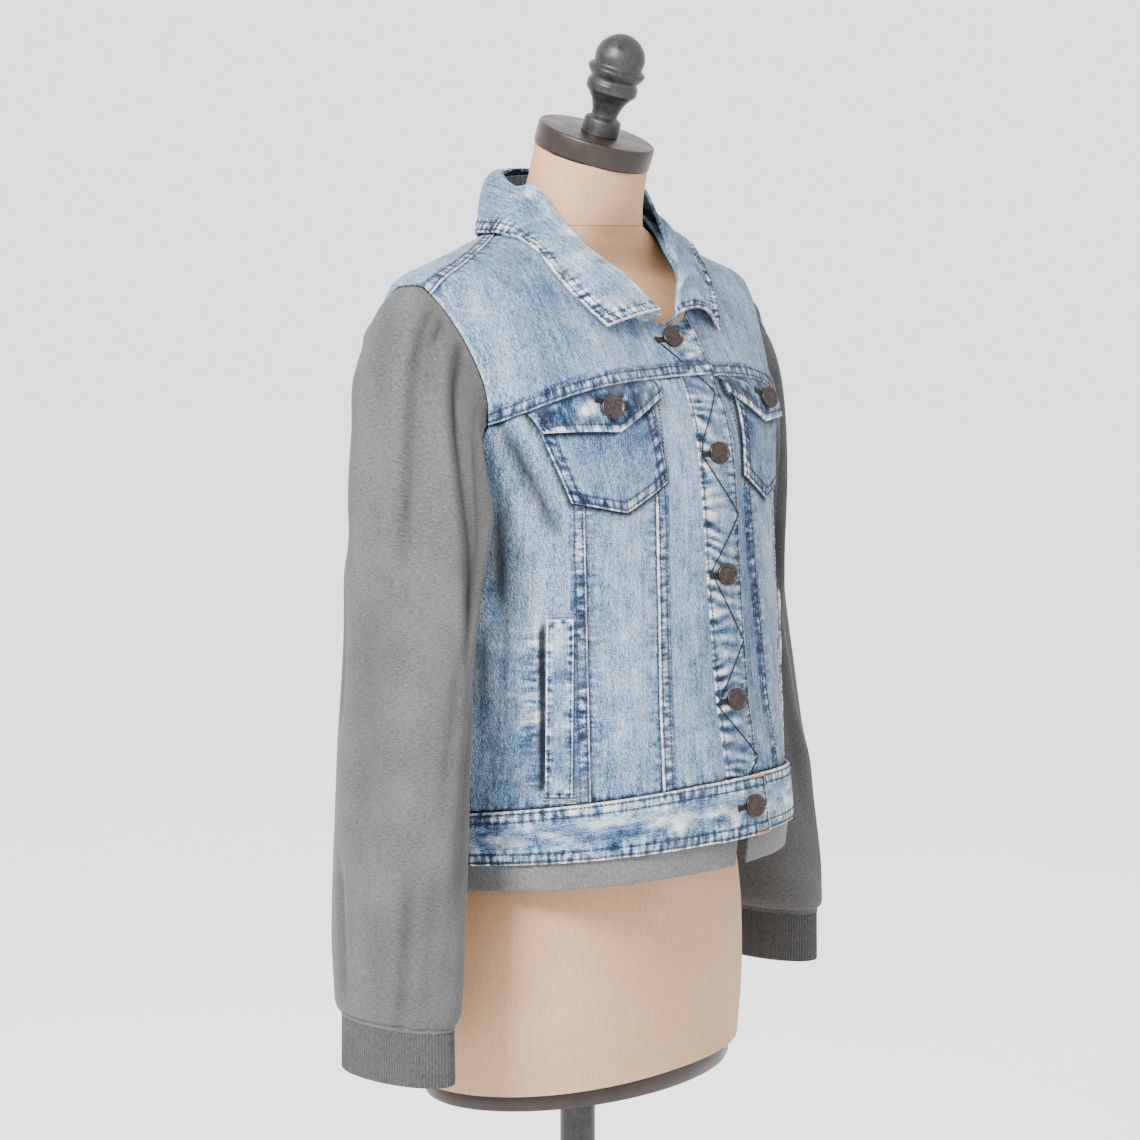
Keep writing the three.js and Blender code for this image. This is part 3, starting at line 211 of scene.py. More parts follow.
# Finer folds, and last four broad swellings and hollows: the same columns, with troughs below zero
SLEEVE_CREASES = rows(
    "start high end low wide rise",
    (26, 1372, 17, 1190, 3.6, -4.2), (36, 1370, 36, 1336, 2.6, -3.2), (48, 1335, 74, 1120, 5.5, 2.4),
    (59, 1335, 83, 1125, 5.0, -4.6), (93, 1275, 86, 1150, 5.5, -3.6), (74, 1120, 66, 1000, 6, -2.2),
    (100, 1090, 92, 940, 9, -2.8), (40, 1120, 34, 990, 9, 1.8), (36, 955, 29, 852, 4.5, -3.6),
    (60, 960, 54, 862, 6, -2.6), (8, 930, 12, 856, 6, -2.2), (-12, 1150, -6, 1000, 11, -2.2),
    (-2, 1366, -8, 1280, 6, -2.0), (-30, 1374, -42, 1240, 7, -1.4), (-62, 1210, -50, 1060, 8, -3.2),
    (-95, 1150, -84, 990, 9, -3.0), (-40, 960, -30, 862, 6, -3.0), (130, 1180, 122, 1020, 8, -2.6),
    (168, 1100, 160, 930, 9, -2.4), (-130, 1090, -122, 900, 8, -2.5),
    (-66, 1292, -66, 1186, 40, -4.6), (-60, 1376, -60, 1338, 30, 4.2), (114, 1180, 114, 1080, 24, -4.6),
    (108, 1278, 112, 1205, 15, 4.2),
)

# Painted shade, drawn as dark lines: troughs deeper than DARK_TROUGH, narrow folds of the sleeves, and edges
# of pockets and flaps
DARK_TROUGH = -1.5
TROUGH_SHADE = dict(depth=0.165, wide=1.5, most=0.84)
NARROW_FOLD = 12
SLEEVE_SHADE = dict(depth=0.09, wide=1.6, most=0.6)
POCKET_SHADE = dict(depth=1.3, wide=3.0, most=0.92)
FLAP_SHADE = dict(depth=0.85, wide=2.8)

# Dress form and its stand
FORM_RINGS = columns(
    "z side front back round",
    (772, 158, 98, 99, 2.2), (820, 162, 101, 104, 2.2), (880, 158, 103, 100, 2.2), (940, 147, 102, 86, 2.15),
    (1000, 130, 98, 76, 2.1), (1070, 117, 93, 72, 2.1), (1130, 124, 99, 80, 2.1), (1190, 142, 113, 92, 2.15),
    (1240, 150, 114, 98, 2.2), (1290, 158, 99, 96, 2.25), (1340, 168, 72, 80, 2.25), (1362, 172, 56, 62, 2.2),
    (1376, 171, 44, 48, 2.1), (1385.2, 162, 37, 42, 2.0), (1392.1, 149, 34, 40, 2.0),
    (1400.1, 127, 34, 41, 2.0), (1408.1, 104, 36, 43, 2.0), (1416.9, 80, 38, 44, 2.0),
    (1424, 61, 42, 44, 2.0),
)
NECK_RINGS = columns(
    "up side front back y",
    (0, 60.7, 42.4, 43.8, 0), (12, 52, 44.5, 41.2, -2), (34, 48, 44, 42, -8), (56, 47, 44, 43, -13),
)
NECK_START = 1424.3
CAP = dict(radius=46, thick=18, tilt=20, y=-19.5, z=1495, edge=2)
FINIAL_FORWARD = 2
FINIAL = [
    (0, 14.5), (11, 14.2), (14.5, 10), (24, 12.5), (31, 17), (34.5, 19.8), (39, 19.8), (42.5, 18),
    (47, 21), (50.5, 22.4), (54.5, 18.7), (60, 19.4), (67, 17.6), (73, 13), (77, 6.5), (78.5, 0),
]
HIP_PLATE = dict(radius_x=150, radius_y=96, thick=14, y=-2)
POLE_RADIUS = 14
COLLAR_RING = dict(radius=26, high=22)
BASE = dict(radius=190, rim=8, middle=16, hub=30, hub_high=34)

# Buttons
BUTTON_HEIGHTS = [1336, 1252, 1161, 1066, 986]
BUTTON = dict(radius=8.8, high=5.6, shank=3.2)
BUTTON_LEAN = -20


def smooth(t):
    k = np.clip(t, 0, 1)
    return k * k * (3 - 2 * k)


def mix(a, b, t):
    return a + (b - a) * t


def peak(distance, wide):
    return np.exp(-((distance / wide) ** 2))


def vector(x, y, z):
    return np.stack(np.broadcast_arrays(x, y, z), -1).astype(float)


def unit(v):
    return v / np.linalg.norm(v, axis=-1, keepdims=True)


def noise(x, y, seed):
    """Smooth noise from -1 to 1 with one random value for each whole step of x and y."""
    size = 97
    values = np.random.default_rng(seed).uniform(-1, 1, (size, size))
    x, y = np.broadcast_arrays(np.asarray(x, float), np.asarray(y, float))
    i, j = np.floor(x).astype(int), np.floor(y).astype(int)
    fx, fy = smooth(x - i), smooth(y - j)
    a, b = values[i % size, j % size], values[(i + 1) % size, j % size]
    c, d = values[i % size, (j + 1) % size], values[(i + 1) % size, (j + 1) % size]
    return mix(mix(a, b, fx), mix(c, d, fx), fy)


def read(table, key, at):
    """Monotone cubic reading of a table by one of its columns."""
    x = table[key]
    at = np.clip(at, x[0], x[-1])
    i = np.clip(np.searchsorted(x, at) - 1, 0, len(x) - 2)
    step = x[i + 1] - x[i]
    t = (at - x[i]) / step
    result = {}
    for name, y in table.items():
        slope = np.diff(y) / np.diff(x)
        both = slope[:-1] * slope[1:]
        inner = np.where(both > 0, 2 * both / np.where(both > 0, slope[:-1] + slope[1:], 1), 0)
        tangent = np.concatenate([slope[:1], inner, slope[-1:]])
        t2, t3 = t * t, t * t * t
        result[name] = (
            (2 * t3 - 3 * t2 + 1) * y[i] + (t3 - 2 * t2 + t) * step * tangent[i]
            + (3 * t2 - 2 * t3) * y[i + 1] + (t3 - t2) * step * tangent[i + 1]
        )
    return result


def wrap(angle):
    return (angle + 180) % 360 - 180


def angle_round(form):
    """Degrees round the body from the middle of the front, positive towards the wearer's left."""
    return np.degrees(np.arctan2(form[..., 0], -form[..., 1]))


def ring_point(rings, angle, z):
    angle, z = np.broadcast_arrays(np.asarray(angle, float), np.asarray(z, float))
    ring = read(rings, "z", z)
    s, c = np.sin(np.radians(angle)), np.cos(np.radians(angle))
    depth = np.where(c >= 0, ring["front"], ring["back"])
    total = (np.abs(s) / ring["side"]) ** ring["round"] + (np.abs(c) / depth) ** ring["round"]
    reach = total ** (-1 / ring["round"])
    return vector(reach * s, -reach * c, z)


def fold_share(t, past, fade):
    """1 along a fold, and 0 from a little past each of its ends."""
    return smooth((t + past) / fade) * smooth((1 + past - t) / fade)


def body_fold(angle, z):
    lift = 0
    for fold in BODY_FOLDS:
        t = (z - fold["low"]) / (fold["high"] - fold["low"])
        along = fold_share(t, 0.35, 0.5)
        away = np.radians(wrap(angle - mix(fold["start"], fold["end"], t))) * BODY_RADIUS
        lift = lift + fold["rise"] * along * peak(away, fold["wide"])
    return lift


def body_point(angle, z):
    point = ring_point(BODY_RINGS, angle, z)
    reach = np.hypot(point[..., 0], point[..., 1])
    scale = 1 + body_fold(angle, point[..., 2]) / reach
    return point * vector(scale, scale, 1)


def body_normal(angle, z):
    across = body_point(angle + 1, z) - body_point(angle - 1, z)
    up = body_point(angle, z + 3) - body_point(angle, z - 3)
    return unit(np.cross(across, up))


def shoulder_point(x, up):
    """A point over the shoulder, on a ray from the level line at RAY_Z: up is 0 forwards and 90 upwards."""
    x, up = np.broadcast_arrays(np.asarray(x, float), np.asarray(up, float))
    dy, dz = -np.cos(np.radians(up)), np.sin(np.radians(up))
    low, high = np.zeros_like(x), np.full_like(x, 200)
    for _ in range(36):
        middle = (low + high) / 2
        ring = read(BODY_RINGS, "z", RAY_Z + dz * middle)
        y = dy * middle
        depth = np.where(y <= 0, ring["front"], ring["back"])
        level = (np.abs(x) / ring["side"]) ** ring["round"] + (np.abs(y) / depth) ** ring["round"]
        inside = level < 1
        low, high = np.where(inside, middle, low), np.where(inside, high, middle)
    return vector(x, dy * low, RAY_Z + dz * low)


def yoke_seam(rule, x):
    return rule["centre"] - rule["drop"] * (np.abs(x) / rule["half"]) ** rule["power"]


def seam_height(rule, angle):
    z = np.full_like(np.asarray(angle, float), rule["centre"])
    for _ in range(5):
        z = yoke_seam(rule, ring_point(BODY_RINGS, angle, z)[..., 0])
    return z


def band_height(rule, angle):
    c = np.cos(np.radians(angle))
    return rule["side"] + np.where(c > 0, rule["front"] * c, -rule["back"] * c)


def meet_angle(rule, reach, start):
    """The angle at which a yoke seam reaches the armhole."""
    low, high = 30.0, 90.0
    for _ in range(40):
        middle = (low + high) / 2
        angle = abs(start - middle)
        if ring_point(BODY_RINGS, angle, seam_height(rule, angle))[..., 0] > reach:
            high = middle
        else:
            low = middle
    return abs(start - low)


FRONT_MEET = meet_angle(YOKE_FRONT, ARMHOLE_FRONT_X, 0)
BACK_MEET = meet_angle(YOKE_BACK, ARMHOLE_BACK_X, 180)


def lower_top(angle):
    """Top edge of the lower panels: the yoke seams, and the low part of the armhole between them."""
    away = np.abs(wrap(angle))
    front = away < ARMHOLE_LOW["angle"]
    meet = np.where(front, FRONT_MEET, BACK_MEET)
    top = np.where(front, seam_height(YOKE_FRONT, meet), seam_height(YOKE_BACK, meet))
    t = np.clip(np.abs((away - ARMHOLE_LOW["angle"]) / (meet - ARMHOLE_LOW["angle"])), 0, 1)
    rise = (top - ARMHOLE_LOW["z"]) * t ** ARMHOLE_LOW["power"]
    hole = ARMHOLE_LOW["z"] - ARMHOLE_TRIM * (1 - t ** 8) + rise
    seam = np.where(front, seam_height(YOKE_FRONT, away), seam_height(YOKE_BACK, away))
    return np.where((away > FRONT_MEET) & (away < BACK_MEET), hole, seam)


def angle_of_x(x, z):
    return np.degrees(np.arctan2(x, -ring_point(BODY_RINGS, 0, z)[..., 1]))


def seam_at_x(x):
    return (float(angle_of_x(x, 1010)), float(angle_of_x(x, 1305)))


def mirrored(seam):
    return (-seam[0], -seam[1])


def lap_lift(x):
    return LAP * smooth((x - LAP_START_X) / (PLACKET_INNER_X - 4 - LAP_START_X))


# Meshes
def make_mesh(name, points, faces, material, uv=None, values=None, sharp=50):
    """A smooth-shaded mesh from points in millimetres. faces is a list of arrays of quads or triangles."""
    counts = np.concatenate([np.full(len(f), f.shape[1]) for f in faces])
    loops = np.concatenate([f.ravel() for f in faces])
    mesh = bpy.data.meshes.new(name)
    mesh.vertices.add(len(points))
    mesh.vertices.foreach_set("co", (np.asarray(points, float) * MM).astype(np.float32).ravel())
    mesh.loops.add(len(loops))
    mesh.loops.foreach_set("vertex_index", loops.astype(np.int32))
    mesh.polygons.add(len(counts))
    mesh.polygons.foreach_set("loop_start", (np.cumsum(counts) - counts).astype(np.int32))
    mesh.update(calc_edges=True)
    mesh.validate()
    if uv is not None:
        layer = mesh.uv_layers.new(name="cloth")
        layer.data.foreach_set("uv", (uv[loops] * MM).astype(np.float32).ravel())
    for key, value in (values or {}).items():
        mesh.attributes.new(key, "FLOAT", "POINT").data.foreach_set("value", value.astype(np.float32))
    mesh.shade_smooth()
    if sharp:
        mesh.set_sharp_from_angle(angle=math.radians(sharp))
    mesh.materials.append(material)
    thing = bpy.data.objects.new(name, mesh)
    bpy.context.scene.collection.objects.link(thing)
    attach(thing, "root")
    return thing


def spread(length, coarse, fine=0.6):
    """Shares of a length, closer together towards both ends."""
    x = [0.0]
    while x[-1] < length / 2:
        x.append(x[-1] + min(coarse, fine + 0.09 * x[-1]))
    half_way = np.array(x) * (length / 2) / x[-1]
    return np.concatenate([half_way, (length - half_way)[::-1][1:]]) / length


def thin_out(shares, length, step):
    """Indices of a few of the shares, about a step apart, with the first and the last."""
    kept = [0]
    for i in range(1, len(shares) - 1):
        if (shares[i] - shares[kept[-1]]) * length >= step:
            kept.append(i)
    return np.array(kept + [len(shares) - 1])


def grid_quads(index):
    """Quads of a grid of point numbers."""
    corners = [index[:-1, :-1], index[:-1, 1:], index[1:, 1:], index[1:, :-1]]
    return np.stack(corners, -1).reshape(-1, 4)


def closed_solid(name, rings, ends, material, node):
    """A closed solid from rings of points, one above the other, and a point in the middle of each end."""
    levels, count = rings.shape[:2]
    index = np.arange(levels * count).reshape(levels, count)
    index = np.hstack([index, index[:, :1]])
    low, high = levels * count, levels * count + 1
    caps = [(low, index[0, i + 1], index[0, i]) for i in range(count)]
    caps += [(high, index[-1, i], index[-1, i + 1]) for i in range(count)]
    points = np.vstack([rings.reshape(-1, 3), ends])
    piece = make_mesh(name, points, [grid_quads(index), np.array(caps)], material, sharp=40)
    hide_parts(node)


def join_edges(fine, coarse, kept):
    """Triangles between a fine edge and a coarse one that has only the kept points."""
    faces = []
    for k in range(len(kept) - 1):
        a, b = kept[k], kept[k + 1]
        middle = (a + b) // 2
        faces += [(fine[i + 1], fine[i], coarse[k]) for i in range(a, middle)]
        faces.append((fine[middle], coarse[k], coarse[k + 1]))
        faces += [(fine[i + 1], fine[i], coarse[k + 1]) for i in range(middle, b)]
    return faces


# Spacing of the points on the inner side of the cloth
INNER_STEP = 3.0


class Cloth:
    """A sewn piece: a fine grid of points on its own form, and its distances from its four edges."""

    def __init__(self, node, place, s, t, centre, lift=0.0, thick=DENIM, around=False):
        self.node, self.thick, self.around = node, thick, around
        self.shares = (s, t)
        self.s, self.t = np.meshgrid(s, t)
        small = 1e-3
        self.form = place(self.s, self.t)
        if around:
            before, after = self.s - small, self.s + small
        else:
            before, after = np.maximum(self.s - small, 0), np.minimum(self.s + small, 1)
        across = place(after, self.t) - place(before, self.t)
        up = place(self.s, np.minimum(self.t + small, 1)) - place(self.s, np.maximum(self.t - small, 0))
        normal = unit(np.cross(across, up))
        facing = np.sum(normal * (self.form - centre(self.form)), -1, keepdims=True)
        self.turned = facing.mean() < 0
        self.normal = normal * np.sign(facing)
        self.base = self.form + self.normal * np.asarray(lift)[..., None]
        wide = np.linalg.norm(np.diff(self.form, axis=1), axis=-1)
        tall = np.linalg.norm(np.diff(self.form, axis=0), axis=-1)
        self.u = np.pad(np.cumsum(wide, 1), ((0, 0), (1, 0)))
        self.v = np.pad(np.cumsum(tall, 0), ((1, 0), (0, 0)))
        self.left, self.right = self.u, self.u[:, -1:] - self.u
        self.low, self.high = self.v, self.v[-1:, :] - self.v
        self.relief = np.zeros_like(self.u)
        self.wear = np.zeros_like(self.u)
        self.shade = np.zeros_like(self.u)
        self.gather = {"gather_u": np.zeros_like(self.u), "gather_v": np.zeros_like(self.u)}
        self.flat = np.stack([self.u, self.v], -1)
        self.lengthwise = False

    def gathered(self, edge, amount):
        """Marks where the cloth is gathered along an edge."""
        key = "gather_u" if edge in ("low", "high") else "gather_v"
        self.gather[key] = np.maximum(self.gather[key], amount)

    def add(self, relief=0, wear=0, where=1.0):
        self.relief = self.relief + relief * where
        self.wear = self.wear + wear * where

    def outer(self):
        return self.base + self.normal * (self.thick + self.relief)[..., None]

    def cut(self):
        """The flat size of the piece: width, length and area in metres."""
        a = self.form[1:, 1:] - self.form[:-1, :-1]
        b = self.form[1:, :-1] - self.form[:-1, 1:]
        area = np.linalg.norm(np.cross(a, b), axis=-1).sum() / 2
        return self.u.max() * MM, self.v.max() * MM, area * MM * MM

    def line(self, edge, distance, first=0.0, last=1.0):
        """Points and normals on the outside, at a distance from an edge, between two shares of it."""
        away = getattr(self, edge)
        grid = np.concatenate([self.outer(), self.normal], -1)
        if edge in ("low", "high"):
            away, grid = away.T, grid.transpose(1, 0, 2)
            shares = self.shares[0]
        else:
            shares = self.shares[1]
        if edge in ("right", "high"):
            away, grid = away[:, ::-1], grid[:, ::-1]
        keep = (shares >= first) & (shares <= last)
        lines = [[np.interp(distance, a, g[:, k]) for k in range(6)] for a, g in zip(away[keep], grid[keep])]
        lines = np.array(lines)
        return lines[:, :3], unit(lines[:, 3:])

    def build(self, material):
        outer = self.outer()
        s, t = self.shares
        ki, kj = thin_out(s, self.u.max(), INNER_STEP), thin_out(t, self.v.max(), INNER_STEP)
        inner = self.base[np.ix_(kj, ki)]
        nj, ni = self.u.shape
        if self.around:
            outer, inner, ni = outer[:, :-1], inner[:, :-1], ni - 1
        index = np.arange(nj * ni).reshape(nj, ni)
        under = nj * ni + np.arange(inner.shape[0] * inner.shape[1]).reshape(inner.shape[:2])
        if self.around:
            index, under = np.hstack([index, index[:, :1]]), np.hstack([under, under[:, :1]])
        quads = grid_quads(index)
        back = np.stack([under[:-1, :-1], under[1:, :-1], under[1:, 1:], under[:-1, 1:]], -1).reshape(-1, 4)
        rim = join_edges(index[0], under[0], ki)
        rim += join_edges(index[-1][::-1], under[-1][::-1], len(s) - 1 - ki[::-1])
        if not self.around:
            rim += join_edges(index[:, -1], under[:, -1], kj)
            rim += join_edges(index[:, 0][::-1], under[:, 0][::-1], len(t) - 1 - kj[::-1])
        faces = [quads, back, np.array(rim)]
        if self.turned:
            faces = [f[:, ::-1] for f in faces]
        points = np.vstack([outer.reshape(-1, 3), inner.reshape(-1, 3)])
        flat, gather = self.flat, self.gather
        if self.lengthwise:
            flat = flat[..., ::-1]
            gather = {"gather_u": gather["gather_v"], "gather_v": gather["gather_u"]}
        flat_inner = flat[np.ix_(kj, ki)]
        if self.around:
            flat, flat_inner = flat[:, :-1], flat_inner[:, :-1]
        uv = np.vstack([flat.reshape(-1, 2), flat_inner.reshape(-1, 2)])
        seed = sum(map(ord, self.node))
        uv = uv + np.random.default_rng(seed).uniform(0, 900, 2)
        values = {}
        # The inner side is a little less faded, and darkened by a painted shade of 0.25
        layers = {"wear": (self.wear, -0.1), "shade": (self.shade, 0.25)}
        layers.update({key: (grid, 0) for key, grid in gather.items()})
        for key, (grid, inside) in layers.items():
            grid = grid[:, :-1] if self.around else grid
            values[key] = np.concatenate([grid.ravel(), np.full(inner.shape[0] * inner.shape[1], inside)])
        piece = make_mesh("cloth." + self.node, points, faces, material, uv, values)
        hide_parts(self.node)
        width, length, area = self.cut()
        min(area, width * length)

    def build_denim(self, *rests_on):
        self.build(DENIM_LOOK)


# Sewn edges
STITCH_NEAR = 2.2
STITCH_FAR = 8.2
BAND_WIDE = 10.2
BAND_HIGH = 1.0


def pucker(run, across, seed, period=2.9):
    """Gathers along a sewn edge, from -1 to 1."""
    large = noise(run / period + 0.12 * across, across / 10, seed)
    return 0.75 * large + 0.4 * noise(run / period * 2.1, across / 5, seed + 1)


def felled_edge(cloth, edge, run, seed, high=BAND_HIGH, gather=0.45, where=1.0):
    """The raised band of a felled seam: a folded edge, two stitched grooves and gathers between them."""
    d = getattr(cloth, edge)
    fall = 1 - smooth((d - BAND_WIDE) / 1.8)
    grooves = peak(d - STITCH_NEAR, 0.7) + peak(d - STITCH_FAR, 0.7)
    gathers = pucker(run, d, seed)
    inside = smooth(d / 1.2) * (1 - smooth((d - BAND_WIDE) / 4))
    relief = high * fall - 0.7 * (1 - smooth(d / 0.9)) - 0.35 * grooves + gather * gathers * inside
    cloth.add(relief, where=where)
    cloth.gathered(edge, peak(d - 4.8, 4.6) * where)
    edge_white = 0.9 * peak(d - 0.5, 0.6)
    between = -0.35 * peak(d - 5.2, 3.6)
    # Painted shade: a dark line just past the foot of the band
    beyond = 0.7 * peak(d - BAND_WIDE - 0.6, 1.1)
    wear = 0.5 * gathers * inside + edge_white + between - 0.9 * grooves - beyond
    cloth.add(wear=wear, where=where)


def tucked_edge(cloth, edge, run, seed, where=1.0):
    """The edge that goes in under a felled seam: painted shade along it as a dark line, and a little
    gathering.
    """
    d = getattr(cloth, edge)
    gathers = pucker(run, d, seed, 4.5)
    cloth.add(-0.3 * peak(d, 1.2) + 0.18 * gathers * peak(d, 9), where=where)
    cloth.gathered(edge, 0.45 * peak(d - 2, 7) * where)
    # Painted shade: dark along the edge and fading away from it; the gathers add real wear
    cloth.add(wear=-1.1 * peak(d, 1.4) - 0.2 * np.exp(-d / 7) + 0.2 * gathers * peak(d, 8), where=where)


def turned_edge(cloth, edge, run, seed, stitch=3.0, gather=0.5, white=0.9, deep=7.0):
    """A folded edge with one line of stitches: puckered, and worn white on the fold."""
    d = getattr(cloth, edge)
    gathers = pucker(run, d, seed, 3.8)
    near = peak(d - 1, deep)
    cloth.add(-0.9 * (1 - smooth(d / 1.1)) - 0.4 * peak(d - stitch, 0.8) + gather * gathers * near)
    cloth.gathered(edge, near)
    cloth.add(wear=white * peak(d - 0.5, 1.1) - 0.9 * peak(d - stitch, 0.9) + 0.35 * gathers * near)


# Threads: each stitch is a short spindle that dips into the cloth at both ends
THREADS = {}


def lengths_along(points):
    steps = np.linalg.norm(np.diff(points, axis=0), axis=1)
    return np.concatenate([[0], np.cumsum(steps)])


def read_line(at, gone, points):
    return np.stack([np.interp(at, gone, points[:, k]) for k in range(3)], -1)


def stitch(colour, points, normals, pitch=3.1, length=2.4, radius=0.5, trim=(0.0, 0.0)):
    gone = lengths_along(points)
    at = np.arange(trim[0] + pitch / 2, gone[-1] - trim[1], pitch)
    if not len(at):
        return
    start, end = (read_line(at + shift, gone, points) for shift in (-length / 2, length / 2))
    normal = unit(read_line(at, gone, normals))
    THREADS.setdefault(colour, []).append((start, end, normal, np.full(len(at), radius)))


def sew(cloth, edge, distance, colour="rust", trim=(0.0, 0.0), first=0.0, last=1.0, **more):
    points, normals = cloth.line(edge, distance, first, last)
    stitch(colour, points, normals, trim=trim, **more)


def build_threads(material_of):
    # Share of the stitch's length, then height over the cloth and thickness, both in radii
    sections = ((0.0, -0.2, 0.4), (0.25, 0.55, 1.0), (0.75, 0.55, 1.0), (1.0, -0.2, 0.4))
    for colour, parts in THREADS.items():
        start, end, normal, radius = (np.concatenate(p) for p in zip(*parts))
        along = unit(end - start)
        side = unit(np.cross(normal, along))
        points = []
        for share, height, size in sections:
            middle = mix(start, end, share) + normal * (height * radius)[:, None]
            for k in range(4):
                angle = math.pi / 4 + k * math.pi / 2
                reach = (radius * size)[:, None]
                points.append(middle + reach * (math.cos(angle) * side + math.sin(angle) * normal))
        points = np.stack(points, 1)
        faces = []
        for j in range(3):
            for k in range(4):
                a, b = 4 * j + k, 4 * j + (k + 1) % 4
                faces.append((a, b, b + 4, a + 4))
        faces += [(3, 2, 1, 0), (12, 13, 14, 15)]
        many = (np.array(faces)[None] + 16 * np.arange(len(points))[:, None, None]).reshape(-1, 4)
        piece = make_mesh("thread." + colour, points.reshape(-1, 3), [many], material_of[colour], sharp=0)


# Materials
def srgb(r, g, b):
    return tuple(((c + 0.055) / 1.055) ** 2.4 if c > 0.04045 else c / 12.92 for c in (r, g, b)) + (1.0,)


class Surface:
    """A node material: add() makes a node and joins or sets its inputs by name or number."""

    def __init__(self, name, **fixed):
        self.material = bpy.data.materials.new(name)
        self.material.use_nodes = True
        self.tree = self.material.node_tree
        self.tree.nodes.clear()
        self.shader = self.add("ShaderNodeBsdfPrincipled")
        output = self.tree.nodes.new("ShaderNodeOutputMaterial")
        self.tree.links.new(self.shader.outputs[0], output.inputs["Surface"])
        for key, value in fixed.items():
            self.shader.inputs[key.replace("_", " ")].default_value = value

    def add(self, kind, inputs=None, **settings):
        node = self.tree.nodes.new(kind)
        for key, value in settings.items():
            setattr(node, key, value)
        for key, value in (inputs or {}).items():
            if isinstance(value, bpy.types.NodeSocket):
                self.tree.links.new(value, node.inputs[key])
            else:
                node.inputs[key].default_value = value
        return node

    def math(self, operation, a, b=0.0, c=0.0):
        return self.add("ShaderNodeMath", {0: a, 1: b, 2: c}, operation=operation).outputs[0]

    def weighted(self, *terms):
        """The sum of values, each with its weight."""
        total = 0.0
        for value, weight in terms:
            total = self.math("MULTIPLY_ADD", value, weight, total)
        return total

    def attribute(self, name):
        return self.add("ShaderNodeAttribute", attribute_name=name).outputs["Fac"]

    def flat_place(self, turn):
        """A place on the flat cloth, turned by degrees."""
        uv = self.add("ShaderNodeUVMap", uv_map="cloth").outputs[0]
        turned = {"Vector": uv, "Rotation": (0, 0, math.radians(turn))}
        return self.add("ShaderNodeMapping", turned).outputs[0]

    def flat_noise(self, scale_u, scale_v, turn=0.0, detail=2.0, rough=0.5):
        """Noise on the flat cloth, with cells per metre across and along, centred on zero."""
        turned = self.flat_place(turn)
        scaled = self.add("ShaderNodeMapping", {"Vector": turned, "Scale": (scale_u, scale_v, 1)}).outputs[0]
        settings = {"Vector": scaled, "Scale": 1.0, "Detail": detail, "Roughness": rough}
        result = self.add("ShaderNodeTexNoise", settings, noise_dimensions="2D")
        return self.math("SUBTRACT", result.outputs["Fac"], 0.5)

    def flat_wave(self, pitch, turn, uneven):
        """Parallel uneven lines on the flat cloth, pitch metres apart, centred on zero."""
        turned = self.flat_place(turn)
        settings = {"Vector": turned, "Scale": math.pi / 10 / pitch, "Distortion": uneven}
        settings.update({"Detail": 2.0, "Detail Scale": 0.7})
        result = self.add("ShaderNodeTexWave", settings, wave_type="BANDS", bands_direction="X")
        return self.math("SUBTRACT", result.outputs["Fac"], 0.5)

    def space_noise(self, scale, stretch=(1, 1, 1), detail=2.0, rough=0.5):
        place = self.add("ShaderNodeTexCoord").outputs["Object"]
        scaled = self.add("ShaderNodeMapping", {"Vector": place, "Scale": stretch}).outputs[0]
        settings = {"Vector": scaled, "Scale": scale, "Detail": detail, "Roughness": rough}
        return self.math("SUBTRACT", self.add("ShaderNodeTexNoise", settings).outputs["Fac"], 0.5)

    def ramp(self, value, *stops):
        node = self.add("ShaderNodeValToRGB", {"Fac": value})
        elements = node.color_ramp.elements
        while len(elements) < len(stops):
            elements.new(0.5)
        for element, (place, colour) in zip(elements, stops):
            element.position = place
            element.color = colour
        return node.outputs["Color"]

    def blend(self, amount, a, b):
        node = self.add("ShaderNodeMix", data_type="RGBA")
        self.tree.links.new(amount, node.inputs[0])
        for number, value in ((6, a), (7, b)):
            if isinstance(value, bpy.types.NodeSocket):
                self.tree.links.new(value, node.inputs[number])
            else:
                node.inputs[number].default_value = value
        return node.outputs[2]

    def colour(self, socket):
        self.tree.links.new(socket, self.shader.inputs["Base Color"])

    def bump(self, height, distance, strength=1.0):
        node = self.add("ShaderNodeBump", {"Height": height, "Distance": distance, "Strength": strength})
        self.tree.links.new(node.outputs[0], self.shader.inputs["Normal"])


DENIM_MIDDLE = 0.545
LILAC = srgb(0.40, 0.425, 0.47)
# Colour of the painted shade on denim
SHADE_INDIGO = srgb(0.012, 0.02, 0.038)
WARM_GREY = srgb(0.31, 0.285, 0.262)
# Colour of the painted shade on knit
NEAR_BLACK = srgb(0.045, 0.045, 0.048)
TWILL_PITCH = 0.0021
TWILL_TURN = -24


